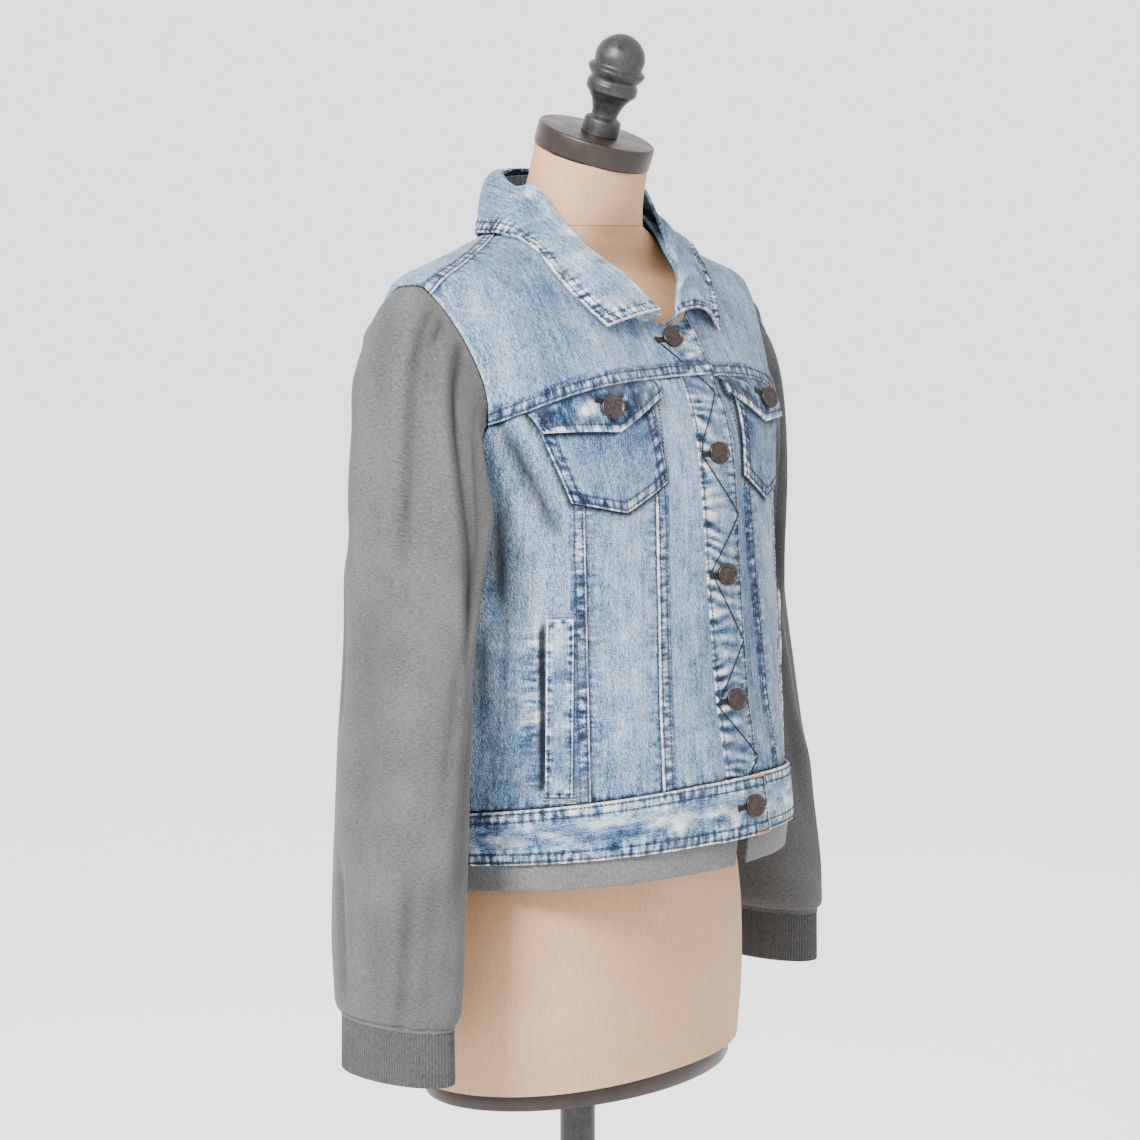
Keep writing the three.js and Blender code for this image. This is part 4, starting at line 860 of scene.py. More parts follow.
def denim_material():
    sheen = dict(Sheen_Weight=0.03, Sheen_Roughness=0.6)
    m = Surface("washed_denim", Roughness=0.9, Specular_IOR_Level=0.18, **sheen)
    # The wear attribute holds real fading together with painted shade beside and under seams; the shade
    # attribute is painted shade only
    wear, shade = m.attribute("wear"), m.attribute("shade")
    twill = m.flat_wave(TWILL_PITCH, TWILL_TURN, 3.0)
    yarn = m.flat_noise(950, 230, turn=-7, detail=0)
    speck = m.flat_noise(1000, 900, detail=0)
    cloud = m.flat_noise(11, 6, detail=2)
    patch = m.flat_noise(80, 52, detail=2, rough=0.6)
    slub = m.flat_noise(300, 24, turn=1, detail=1)
    across = m.math("MULTIPLY", m.flat_noise(75, 255, detail=1), m.attribute("gather_v"))
    along = m.math("MULTIPLY", m.flat_noise(255, 75, detail=1), m.attribute("gather_u"))
    ladder = m.math("ADD", across, along)
    strength = m.math("MULTIPLY_ADD", patch, 1.6, 1.0)
    patchy_wear_and_shade = m.math("MULTIPLY", wear, strength)
    value = m.weighted(
        (patchy_wear_and_shade, 0.34), (ladder, 1.5), (twill, 0.05), (yarn, 0.34), (speck, 0.42), (slub, 0.26),
        (cloud, 0.42), (patch, 0.34),
    )
    value = m.math("ADD", value, DENIM_MIDDLE)
    colour = m.ramp(
        value,
        (0.02, srgb(0.035, 0.07, 0.13)), (0.25, srgb(0.115, 0.20, 0.30)), (0.42, srgb(0.245, 0.34, 0.435)),
        (0.60, srgb(0.40, 0.48, 0.55)), (0.78, srgb(0.56, 0.605, 0.64)), (0.97, srgb(0.76, 0.745, 0.73)),
    )
    lilac = m.math("MULTIPLY_ADD", m.flat_noise(45, 30, turn=30, detail=2), 1.1, 0.02)
    colour = m.blend(lilac, colour, LILAC)
    # Painted shade: where the shade attribute is set, the colour is darkened towards a deep indigo
    m.colour(m.blend(shade, colour, SHADE_INDIGO))
    m.bump(m.weighted((yarn, 0.5), (twill, 0.35), (speck, 0.5), (ladder, 3.0)), 0.0005, 0.9)
    return m.material


def jersey_material(name, across, along, dark, light):
    """Grey marl knit with short fibres along one direction of the flat cloth."""
    m = Surface(name, Roughness=0.95, Sheen_Weight=0.08, Sheen_Roughness=0.5, Specular_IOR_Level=0.15)
    fibre = m.flat_noise(across, along, detail=1.5)
    speck = m.flat_noise(900, 1000, detail=1)
    cloud = m.flat_noise(22, 30, detail=2)
    tint = m.flat_noise(120, 260, detail=2)
    value = m.math("ADD", m.weighted((fibre, 0.6), (speck, 0.45), (cloud, 0.26)), 0.5)
    colour = m.ramp(value, (0.15, dark), (0.85, light))
    warm = m.math("MULTIPLY_ADD", tint, 0.9, 0.02)
    colour = m.blend(warm, colour, WARM_GREY)
    # Painted shade: where the shade attribute is set, the colour is darkened towards near black
    m.colour(m.blend(m.attribute("shade"), colour, NEAR_BLACK))
    m.bump(m.weighted((fibre, 0.6), (speck, 0.3)), 0.00006, 0.3)
    return m.material


def linen_material():
    m = Surface("form_linen", Roughness=0.72, IOR=1.45)
    grain = m.space_noise(900, (1, 1, 0.06), detail=3)
    thread = m.space_noise(1500, (0.1, 0.1, 1), detail=2)
    cloud = m.space_noise(14, detail=3)
    value = m.math("ADD", m.weighted((grain, 0.5), (thread, 0.35), (cloud, 0.3)), 0.5)
    m.colour(m.ramp(
        value, (0.2, srgb(0.56, 0.42, 0.29)), (0.5, srgb(0.64, 0.50, 0.37)), (0.85, srgb(0.71, 0.58, 0.46)),
    ))
    m.bump(m.weighted((grain, 0.6), (thread, 0.5)), 0.0003, 0.5)
    return m.material


def metal_material(name, dark, light, metallic, roughness, scale=260, deep=0.0002):
    m = Surface(name, Metallic=metallic, Roughness=roughness)
    cloud = m.space_noise(scale, detail=4, rough=0.6)
    fine = m.space_noise(scale * 5, detail=2)
    value = m.math("ADD", m.weighted((cloud, 1.1), (fine, 0.4)), 0.5)
    m.colour(m.ramp(value, (0.2, dark), (0.8, light)))
    rough = m.math("MULTIPLY_ADD", cloud, 0.4, roughness)
    m.tree.links.new(rough, m.shader.inputs["Roughness"])
    m.bump(m.weighted((cloud, 0.7), (fine, 0.4)), deep, 0.6)
    return m.material


def thread_material(name, dark, light):
    m = Surface(name, Roughness=0.8, Sheen_Weight=0.05, Specular_IOR_Level=0.2)
    value = m.math("ADD", m.weighted((m.space_noise(420, detail=2), 1.3), (m.space_noise(60), 0.6)), 0.5)
    m.colour(m.ramp(value, (0.2, dark), (0.8, light)))
    m.bump(m.space_noise(2600, detail=1), 0.0002, 0.5)
    return m.material


DENIM_LOOK = denim_material()
SLEEVE_LOOK = jersey_material("marl_jersey", 260, 980, srgb(0.17, 0.17, 0.172), srgb(0.345, 0.345, 0.345))
BAND_LOOK = jersey_material("marl_band", 900, 260, srgb(0.21, 0.21, 0.213), srgb(0.42, 0.42, 0.42))
RIB_LOOK = jersey_material("marl_rib", 800, 300, srgb(0.13, 0.13, 0.133), srgb(0.29, 0.29, 0.29))
LINEN_LOOK = linen_material()
BUTTON_LOOK = metal_material("aged_bronze", srgb(0.10, 0.085, 0.08), srgb(0.28, 0.24, 0.23), 0.8, 0.34, 420)
CAP_LOOK = metal_material("cap_bronze", srgb(0.10, 0.07, 0.055), srgb(0.17, 0.13, 0.105), 0.35, 0.4, 60)
IRON_LOOK = metal_material("dark_iron", srgb(0.10, 0.10, 0.103), srgb(0.23, 0.23, 0.235), 0.6, 0.45, 120)
THREAD_LOOKS = {
    "rust": thread_material("rust_thread", srgb(0.12, 0.085, 0.07), srgb(0.30, 0.21, 0.165)),
    "grey": thread_material("grey_thread", srgb(0.085, 0.10, 0.13), srgb(0.22, 0.24, 0.275)),
    "navy": thread_material("navy_thread", srgb(0.012, 0.02, 0.04), srgb(0.035, 0.05, 0.09)),
    "orange": thread_material("orange_thread", srgb(0.50, 0.28, 0.12), srgb(0.72, 0.46, 0.24)),
    "pale": thread_material("pale_thread", srgb(0.46, 0.50, 0.54), srgb(0.68, 0.69, 0.69)),
}


# Lower panels
def body_axis(p):
    return vector(0, 0, np.minimum(p[..., 2], 1300))


def panel_place(left, right):
    def place(s, t):
        angle = mix(mix(left[0], left[1], t) + SEAM_ANGLE, mix(right[0], right[1], t) - SEAM_ANGLE, s)
        low = band_height(BAND_TOP, angle) + HALF_GAP
        return body_point(angle, mix(low, lower_top(angle) - HALF_GAP, t))
    return place


def panel(node, left, right, wide, thick=DENIM, lift=0.0, coarse=2.4):
    place = panel_place(left, right)
    s, t = spread(wide, coarse), spread(320, 2.1, fine=0.8)
    if callable(lift):
        grid = np.meshgrid(s, t)
        lift = lift(place(*grid)[..., 0])
    return Cloth(node, place, s, t, body_axis, lift, thick)


def crease_shade(cloth):
    """Painted shade in a deep indigo where the cloth is pinched into a trough."""
    angle = angle_round(cloth.form)
    shade = 0
    for fold in BODY_FOLDS:
        if fold["rise"] > DARK_TROUGH:
            continue
        t = (cloth.form[..., 2] - fold["low"]) / (fold["high"] - fold["low"])
        along = fold_share(t, 0.15, 0.4)
        away = wrap(angle - mix(fold["start"], fold["end"], t)) * ANGLE_WIDE
        spot = peak(away, TROUGH_SHADE["wide"] * fold["wide"])
        shade = shade - TROUGH_SHADE["depth"] * fold["rise"] * along * spot
    cloth.shade = np.maximum(cloth.shade, np.clip(shade, 0, TROUGH_SHADE["most"]))


def under_pocket(cloth):
    """1 where a chest pocket lies over the panel."""
    angle = np.abs(angle_round(cloth.form))
    z = cloth.form[..., 2]
    return smooth((angle - 16) / 3) * smooth((60 - angle) / 3) * smooth((z - 1222) / 6)


def body_flat(cloth):
    """Flat coordinates on the body: the length of arc round it, and the height."""
    angle = np.unwrap(np.arctan2(cloth.form[..., 0], -cloth.form[..., 1]), axis=1)
    return np.stack([angle * BODY_RADIUS, cloth.form[..., 2]], -1)


def finish_panel(cloth, seed, felled=(), tucked=()):
    open_cloth = 1 - under_pocket(cloth)
    side = 1 if cloth.form[..., 0].mean() > 0 else -1
    # On front panels, painted shadow as a dark line along the edges of the chest pocket and its flap
    if cloth.form[..., 1].mean() < -40:
        corners = (pocket_corners(side), flap_corners(side))
        line = np.minimum(*(edge_distance(cloth.form, row) for row in corners))
        dark = np.minimum(POCKET_SHADE["depth"] * peak(line, POCKET_SHADE["wide"]), POCKET_SHADE["most"])
        cloth.shade = np.maximum(cloth.shade, dark)
    crease_shade(cloth)
    for edge in felled:
        felled_edge(cloth, edge, cloth.v, seed, where=open_cloth)
        for distance in (STITCH_NEAR, STITCH_FAR):
            sew(cloth, edge, distance, "rust" if distance == STITCH_NEAR else "grey", trim=(1, 2))
    for edge in tucked:
        tucked_edge(cloth, edge, cloth.v, seed + 3, where=open_cloth)
    tucked_edge(cloth, "high", cloth.u, seed + 5)
    tucked_edge(cloth, "low", cloth.u, seed + 7)
    uneven = 0.25 * noise(cloth.u / 26, cloth.v / 60, seed + 9)
    cloth.add(uneven * smooth(cloth.left / 14) * smooth(cloth.right / 14))
    cloth.flat = body_flat(cloth)
    cloth.build_denim("form_body")


def whiskers(cloth, side):
    """Faded creases beside the hand pocket's opening, and the opening itself: sunk in, and darkened with
    painted shade.
    """
    angle = side * angle_round(cloth.form)
    z = cloth.form[..., 2]
    out = np.radians(angle - WELT["outer"]) * BODY_RADIUS
    inside = smooth((z - WELT["low"]) / 10) * smooth((WELT["top"] - z) / 10)
    marks = noise(z / 6.5, out / 40, 71 + side) * np.exp(-np.abs(out - 5) / 9) * inside * smooth(out / 1.5)
    cloth.add(0.4 * marks, 1.5 * marks)
    slit = inside * peak(out - 2.3, 2.4)
    cloth.add(-1.0 * slit)
    # Painted shade in the slit of the pocket opening
    cloth.shade = np.maximum(cloth.shade, 0.95 * smooth(1.6 * slit))
    cloth.gathered("left", 0.8 * inside * np.exp(-np.abs(out - 8) / 8))
    ends = smooth((z - WELT["low"] + 6) / 6), smooth((WELT["top"] + 6 - z) / 6)
    around = peak(out - 6.2, 1.0) * ends[0] * ends[1]
    cloth.add(0.5 * around, 0.5 * around)


def build_lower_panels():
    right = panel("front_centre_right", mirrored(SEAM_INNER), seam_at_x(PLACKET_INNER_X), 56, lift=lap_lift)
    finish_panel(right, 11, felled=["left"])
    edges = (seam_at_x(PLACKET_INNER_X), seam_at_x(PLACKET_EDGE_X))
    band = panel("placket_right", *edges, 42, thick=FOLDED_DENIM, lift=LAP, coarse=2.0)
    slanted = band.v + 0.22 * band.u
    phase = slanted / 10.5 + 0.6 * noise(band.v / 17, band.u / 26, 20)
    across = np.sin(2 * math.pi * phase) * (0.55 + 0.45 * noise(band.v / 14, band.u / 9, 21))
    across = across + 0.4 * noise(slanted / 2.8, band.u / 12, 22)
    near = 0.25 + 0.75 * smooth(1.3 - band.left / 24)
    band.add(0.8 * across * near, 1.7 * across * near - 0.15)
    turned_edge(band, "right", band.v, 23, stitch=2.6, gather=0.25, white=0.7, deep=10)
    band.gathered("left", peak(band.left, 10))
    band.add(wear=0.5 * peak(band.left - 0.6, 1.0) - 0.5 * peak(band.left - 2.0, 1.0))
    band.flat = body_flat(band)
    tucked_edge(band, "high", band.u, 25)
    tucked_edge(band, "low", band.u, 26)
    sew(band, "left", 2.0, "grey")
    sew(band, "right", 2.6, "rust")
    band.build_denim("cloth.placket_left")
    under = panel("placket_left", seam_at_x(UNDER_EDGE_X), seam_at_x(UNDER_SEAM_X), 48)
    under.wear = under.wear - 0.3
    under.flat = body_flat(under)
    under.build_denim("form_body")
    finish_panel(panel("front_centre_left", seam_at_x(UNDER_SEAM_X), SEAM_INNER, 34), 31, felled=["right"])
    for side, name in ((-1, "right"), (1, "left")):
        def seams(inner, outer):
            return (inner, outer) if side > 0 else (mirrored(outer), mirrored(inner))
        inner_edge, outer_edge = ("left", "right") if side > 0 else ("right", "left")
        middle = panel(f"front_middle_{name}", *seams(SEAM_INNER, SEAM_OUTER), 50)
        finish_panel(middle, 41 + side, tucked=["left", "right"])
        front = panel(f"front_side_{name}", *seams(SEAM_OUTER, SIDE_SEAM), 112)
        whiskers(front, side)
        finish_panel(front, 51 + side, felled=[inner_edge], tucked=[outer_edge])
        back = panel(f"back_side_{name}", *seams(SIDE_SEAM, SEAM_BACK), 110)
        finish_panel(back, 61 + side, felled=[inner_edge], tucked=[outer_edge])
    centre = panel("back_centre", SEAM_BACK, (360 - SEAM_BACK[0], 360 - SEAM_BACK[1]), 170)
    finish_panel(centre, 81, felled=["left", "right"])


# Waistband and hem band: bar tacks lie over the last columns of points, a little inside the edge
TACK_COLUMNS = 14
TACK_INSIDE = 2.2
BAND_MIDDLE_Z = 980
HEM_MIDDLE_Z = 940
HEM_ENDS_X = (12, -2)


def band_place(first, last, low, high):
    def place(s, t):
        angle = mix(first, last, s)
        return body_point(angle, mix(low(angle), high(angle), t))
    return place


def build_bands():
    def low(angle):
        return band_height(BAND_LOW, angle)

    def high(angle):
        return band_height(BAND_TOP, angle) - HALF_GAP
    edge, under = (float(angle_of_x(x, BAND_MIDDLE_Z)) for x in (PLACKET_EDGE_X, UNDER_EDGE_X))
    side = SIDE_SEAM[0]
    t = spread(40, 1.3)
    pieces = (
        ("right", -side + SEAM_ANGLE, edge, 300),
        ("left", under, side - SEAM_ANGLE, 260),
        ("back", side + SEAM_ANGLE, 360 - side - SEAM_ANGLE, 400),
    )
    for number, (name, first, last, wide) in enumerate(pieces):
        place = band_place(first, last, low, high)
        s = spread(wide, 1.9, fine=0.9)
        grid = place(*np.meshgrid(s, t))
        lift = BAND_LIFT
        if name == "right":
            lift = BAND_LIFT + (WAISTBAND + GAP + FACET_ROOM) * smooth((grid[..., 0] - LAP_START_X) / 26)
        band = Cloth(f"waistband_{name}", place, s, t, body_axis, lift, WAISTBAND)
        seed = 101 + 10 * number
        mottle = noise(band.u / 17, band.v / 5.5, seed) + 0.5 * noise(band.u / 6, band.v / 4, seed + 1)
        middle = peak(band.v - 19, 9)
        band.gathered("low", 0.95 * peak(band.low - 6, 7))
        band.gathered("high", 0.95 * peak(band.high - 5, 6))
        band.add(0.3 * mottle, 0.95 * mottle * (0.3 + 0.7 * middle) + 0.3 * middle)
        band.lengthwise = True
        turned_edge(band, "high", band.u, seed + 2, stitch=STITCH_NEAR, gather=0.4)
        turned_edge(band, "low", band.u, seed + 3, stitch=STITCH_NEAR, gather=0.75, deep=8)
        for edge_name in ("low", "high"):
            second = getattr(band, edge_name) - STITCH_FAR
            band.add(-0.35 * peak(second, 0.8), -1.0 * peak(second, 0.9))
            sew(band, edge_name, STITCH_NEAR, "rust", trim=(3, 3))
            sew(band, edge_name, STITCH_FAR, "grey", trim=(3, 3))
        if name != "back":
            end = "right" if name == "right" else "left"
            turned_edge(band, end, band.v, seed + 4, stitch=3, gather=0.2)
            sew(band, end, 3.0, "grey", trim=(2, 2))
        if name == "right":
            for at, beside in ((0, 1), (-1, -2)):
                row = band.outer()[at, -TACK_COLUMNS:]
                shift = (band.outer()[beside, -TACK_COLUMNS:] - row) * TACK_INSIDE
                tack(row + shift, band.normal[at, -TACK_COLUMNS:], 1.6)
        band.build_denim("cloth.hem_band")

    def hem_low(angle):
        return band_height(HEM_LOW, angle)

    def hem_high(angle):
        return band_height(BAND_LOW, angle) + HEM_HIDDEN
    start, end = (float(angle_of_x(x, HEM_MIDDLE_Z)) for x in HEM_ENDS_X)
    place = band_place(start, 360 + end, hem_low, hem_high)
    hem = Cloth("hem_band", place, spread(880, 3.2), spread(33, 2.2), body_axis, 0.0, JERSEY)
    hem.add(0.5 * noise(hem.u / 22, hem.v / 40, 131) - 0.6 * (1 - smooth(hem.low / 1.2)))
    hem.build(BAND_LOOK)


def tack(points, normals, long, colour="orange", radius=0.3):
    """A bar tack: short stitches side by side along a line."""
    across = unit(np.cross(normals, np.gradient(points, axis=0)))
    gone = lengths_along(points)
    at = np.arange(0.3, gone[-1], 0.62)
    middle = read_line(at, gone, points)
    side = unit(read_line(at, gone, across)) * long / 2
    normal = unit(read_line(at, gone, normals))
    THREADS.setdefault(colour, []).append((middle - side, middle + side, normal, np.full(len(at), radius)))


# Yokes
def armhole_x(up):
    return read(ARMHOLE_TOP, "up", up)["x"] - HALF_GAP


def up_of(point):
    angle = np.degrees(np.arctan2(point[..., 2] - RAY_Z, -point[..., 1]))
    return np.where(angle < -100, angle + 360, angle)


def yoke_low_up(rule, x, back):
    z = yoke_seam(rule, x) + HALF_GAP
    ring = read(BODY_RINGS, "z", z)
    depth = ring["back"] if back else ring["front"]
    y = depth * np.maximum(1 - (np.abs(x) / ring["side"]) ** ring["round"], 0) ** (1 / ring["round"])
    return up_of(vector(x, y if back else -y, z))


def neck_seam_point(angle):
    return ring_point(BODY_RINGS, angle, read(NECK_SEAM, "angle", np.abs(angle))["z"])


SHOULDER_NECK = neck_seam_point(SHOULDER_NECK_ANGLE)


def yoke_top(share, neck_share, start_angle):
    """Top edge of a yoke: along the neck seam from an angle, then along the shoulder seam."""
    on_seam = np.clip((share - neck_share) / (1 - neck_share), 0, 1)
    seam_x = mix(SHOULDER_NECK[0], armhole_x(SHOULDER_ARM_UP), on_seam)
    seam_up = mix(up_of(SHOULDER_NECK), SHOULDER_ARM_UP, on_seam)
    neck = neck_seam_point(mix(start_angle, SHOULDER_NECK_ANGLE, np.clip(share / neck_share, 0, 1)))
    past = share >= neck_share
    return np.where(past, seam_x, neck[..., 0]), np.where(past, seam_up, up_of(neck))


def yoke_point(share, t, side, shape):
    top_x, top_up = yoke_top(share, shape["neck_share"], shape["start_angle"])
    low_x = mix(shape["start_x"], armhole_x(shape["arm_up"]), share)
    low_up = yoke_low_up(shape["rule"], low_x, shape["back"])
    top_up = top_up + (SEAM_UP_GAP if shape["back"] else -SEAM_UP_GAP)
    up = mix(low_up, top_up, t)
    straight = mix(armhole_x(low_up), armhole_x(top_up), t)
    x = mix(low_x, top_x, t) + (armhole_x(up) - straight) * share ** 3
    return shoulder_point(side * x, up)


def build_yokes():
    def front(start_x):
        angle = float(angle_of_x(start_x, NECK_SEAM["z"][0]))
        start = dict(start_angle=angle, start_x=start_x)
        return dict(rule=YOKE_FRONT, back=False, neck_share=0.5, arm_up=FRONT_ARM_UP, **start)
    for name, side, start_x in (("left", 1, UNDER_EDGE_X), ("right", -1, -PLACKET_EDGE_X)):
        shape = front(start_x)

        def place(s, t):
            drop = NECK_DROP * (1 - smooth((s - 0.18) / 0.24))
            return yoke_point(s, t * (1 - drop), side, shape)
        s, t = spread(200, 2.4), spread(120, 2.2)
        grid = place(*np.meshgrid(s, t))
        lift = lap_lift(grid[..., 0]) if side < 0 else 0.0
        yoke = Cloth(f"front_yoke_{name}", place, s, t, body_axis, lift, DENIM)
        seed = 141 + side
        felled_edge(yoke, "low", yoke.u, seed, high=1.2, gather=0.5)
        shoulder = smooth((yoke.s - 0.5) / 0.02)
        tucked_edge(yoke, "high", yoke.u, seed + 2, where=shoulder)
        plain = yoke.right
        yoke.add(-0.5 * (1 - smooth(plain / 1.0)), 0.35 * peak(plain - 1, 1.2) - 0.2 * peak(plain - 5, 2))
        sew(yoke, "low", STITCH_NEAR, "rust", trim=(1, 1))
        sew(yoke, "low", STITCH_FAR, "rust", trim=(1, 1))
        if side < 0:
            turned_edge(yoke, "left", yoke.v, seed + 4, stitch=2.6, gather=0.25)
            sew(yoke, "left", 2.6, "rust", trim=(1, 1))
            x, z = yoke.form[..., 0], yoke.form[..., 2]
            on_placket = smooth((x - PLACKET_INNER_X) / 3)
            marks = noise(z / 4.2, x / 14, 145) + 0.5 * noise(z / 2.2, x / 8, 146)
            yoke.add(0.35 * marks, 1.3 * marks - 0.1, where=on_placket)
            yoke.add(0.5, where=on_placket)
        yoke.flat = np.stack([yoke.form[..., 0], yoke.v], -1)
        yoke.build_denim("form_body")
    shape = dict(
        rule=YOKE_BACK, back=True, neck_share=BACK_NECK_SHARE, start_angle=180, start_x=0, arm_up=BACK_ARM_UP,
    )

    def place(s, t):
        return yoke_point(np.abs(2 * s - 1), t, np.where(s < 0.5, -1, 1), shape)
    yoke = Cloth("back_yoke", place, spread(390, 2.6), spread(125, 2.4), body_axis, 0.0, DENIM)
    felled_edge(yoke, "low", yoke.u, 151, high=1.2, gather=0.5)
    share = np.abs(2 * yoke.s - 1)
    felled_edge(yoke, "high", yoke.u, 153, gather=0.4, where=smooth((share - BACK_NECK_SHARE) / 0.02))
    for distance in (STITCH_NEAR, STITCH_FAR):
        sew(yoke, "low", distance, "rust", trim=(1, 1))
        for first, last in ((0.0, 0.29), (0.71, 1.0)):
            sew(yoke, "high", distance, "rust", first=first, last=last, trim=(2, 2))
    yoke.flat = np.stack([yoke.form[..., 0], yoke.v], -1)
    yoke.build_denim("form_body")


# Pockets
def pocket_corners(side):
    """Corners of a chest pocket's sewn edge, as angles and heights."""
    corners = [
        (POCKET["inner"], POCKET["top"]),
        (POCKET["inner_low"], POCKET["low"]),
        (POCKET["point_angle"], POCKET["point"]),
        (POCKET["outer_low"], POCKET["outer_bottom"]),
        (POCKET["outer_top"], POCKET["top_outer"]),
    ]
    return [(side * angle, z) for angle, z in corners]


def flap_corners(side):
    """Corners of a flap's free edge, as angles and heights."""
    span = FLAP["outer"] - FLAP["inner"]
    tip = mix(FLAP["inner_top"], FLAP["outer_top"], FLAP["point_at"] ** FLAP["curve"]) - FLAP["point_deep"]
    corners = [
        (FLAP["inner"], FLAP["inner_top"]),
        (FLAP["inner"], FLAP["inner_top"] - FLAP["inner_deep"]),
        (FLAP["inner"] + FLAP["point_at"] * span, tip),
        (FLAP["outer"] - FLAP_SLANT, FLAP["outer_top"] - FLAP["outer_deep"]),
        (FLAP["outer"], FLAP["outer_top"]),
    ]
    return [(side * angle, z) for angle, z in corners]


def edge_distance(form, corners):
    """How far the body points are from a line through corners on the body, in mm."""
    angle = angle_round(form)
    place = np.stack([angle * ANGLE_WIDE, form[..., 2]], -1)
    points = np.array([(a * ANGLE_WIDE, z) for a, z in corners], float)
    nearest = np.full(angle.shape, 1e9)
    for first, last in zip(points, points[1:]):
        along = last - first
        share = np.clip(((place - first) @ along) / (along @ along), 0, 1)
        nearest = np.minimum(nearest, np.linalg.norm(place - first - share[..., None] * along, axis=-1))
    return nearest


def build_chest_pocket(side):
    name = "right" if side < 0 else "left"

    def place(s, t):
        inner = mix(POCKET["inner_low"], POCKET["inner"], t)
        outer = mix(POCKET["outer_low"], POCKET["outer_top"], t)
        angle = mix(inner, outer, s)
        end = np.where(s < 0.5, inner, outer)
        dip = 1 - np.abs((angle - POCKET["point_angle"]) / (end - POCKET["point_angle"]))
        corner = np.where(s < 0.5, POCKET["low"], POCKET["outer_bottom"])
        low = mix(corner, POCKET["point"], np.maximum(dip, 0))
        high = mix(POCKET["top"], POCKET["top_outer"], s) - POCKET_TOP_DROP
        return body_point(side * angle, mix(low, high, t))

    def lap(points):
        return lap_lift(points[..., 0]) if side < 0 else 0.0
    room = DENIM + GAP + FACET_ROOM
    s, t = spread(105, 2.2), spread(80, 2.0)
    lift = room + lap(place(*np.meshgrid(s, t)))
    pocket = Cloth(f"chest_pocket_{name}", place, s, t, body_axis, lift, DENIM)
    seed = 161 + side
    for edge, run in (("left", pocket.v), ("right", pocket.v), ("low", pocket.u)):
        d = getattr(pocket, edge)
        gathers = pucker(run, d, seed, 3.6)
        grooves = peak(d - STITCH_NEAR, 0.7) + peak(d - STITCH_FAR, 0.8)
        between = peak(d - 4, 5)
        pocket.add(-0.7 * (1 - smooth(d / 1.0)) - 0.3 * grooves)
        pocket.add(0.35 * gathers * between, 1.1 * peak(d - 0.5, 0.8) + 0.6 * gathers * between)
        dark = -0.8 * peak(d - STITCH_FAR, 1.0) - 0.8 * peak(d - STITCH_NEAR, 0.8)
        pocket.add(wear=dark - 0.3 * peak(d - 5, 4))
        seed += 2
        for distance in (STITCH_NEAR, STITCH_FAR):
            trim = (distance, 2) if edge != "low" else (distance, distance)
            sew(pocket, edge, distance, "grey", trim=trim)
    for edge in ("left", "right", "low"):
        pocket.gathered(edge, peak(getattr(pocket, edge) - 4, 6))
    # Painted shadow of the flap on the pocket, along the flap's free edge
    under_flap = edge_distance(pocket.form, flap_corners(side))
    pocket.shade = np.maximum(pocket.shade, FLAP_SHADE["depth"] * peak(under_flap, FLAP_SHADE["wide"]))
    uneven = 0.6 + 0.6 * noise(pocket.u / 14, pocket.v / 7, seed)
    pocket.add(wear=-0.75 * peak(pocket.high - 16, 15) * uneven)
    pocket.add(0.3 * noise(pocket.u / 18, pocket.v / 30, seed + 1))
    pocket.build_denim(f"cloth.front_middle_{name}", f"cloth.front_side_{name}")

    def flap_place(s, t):
        angle = mix(FLAP["inner"], FLAP["outer"] - FLAP_SLANT * (1 - t), s)
        sewn = seam_height(YOKE_FRONT, mix(FLAP["inner"], FLAP["outer"], s)) - 0.6
        high = mix(FLAP["inner_top"], FLAP["outer_top"], s ** FLAP["curve"])
        near = mix(FLAP["inner_deep"], FLAP["point_deep"], s / FLAP["point_at"])
        far = mix(FLAP["point_deep"], FLAP["outer_deep"], (s - FLAP["point_at"]) / (1 - FLAP["point_at"]))
        deep = np.where(s < FLAP["point_at"], near, far)
        return body_point(side * angle, mix(high - deep, sewn, t))

    def flap_lift(s, t):
        free = room + DENIM + GAP + FLAP["room"] + FLAP["stand"] * (1 - t) * s
        return mix(free, DENIM + GAP, smooth((t - 0.66) / 0.34)) + lap(flap_place(s, t))
    s, t = spread(118, 1.9), spread(28, 1.2)
    lift = flap_lift(*np.meshgrid(s, t))
    flap = Cloth(f"pocket_flap_{name}", flap_place, s, t, body_axis, lift, FLAP_THICK)
    seed = 171 + side
    for edge, run in (("low", flap.u), ("left", flap.v), ("right", flap.v)):
        turned_edge(flap, edge, run, seed, stitch=FLAP["stitch"], gather=0.5, white=0.8, deep=5.5)
        sew(flap, edge, FLAP["stitch"], "rust", trim=(5, 5))
        seed += 2
    inside = smooth((flap.low - 5) / 2)
    patch = peak(flap.s - FLAP["worn_at"], 0.10) * peak(flap.low - 15, 8)
    flap.add(wear=(-0.85 + 1.0 * noise(flap.u / 7, flap.v / 5, seed)) * inside + 1.9 * patch)
    flap.gathered("low", 0.45 * inside)
    tucked_edge(flap, "high", flap.u, seed + 1)
    flap.build_denim(f"cloth.chest_pocket_{name}")
    at = np.array(FLAP["button_at"])
    spot = flap_place(at, np.array(0.5))
    angle = math.degrees(math.atan2(spot[0], -spot[1]))
    normal = body_normal(angle, spot[2])
    height = float(flap_lift(at, np.array(0.5))) + FLAP_THICK
    build_button(f"flap_button_{name}", spot, height + GAP, normal)
    buttonhole(lambda u, v: body_point(angle + u, spot[2] + v), angle, height + 0.3, (-5.2, 7.5), (1.5, 0.5))


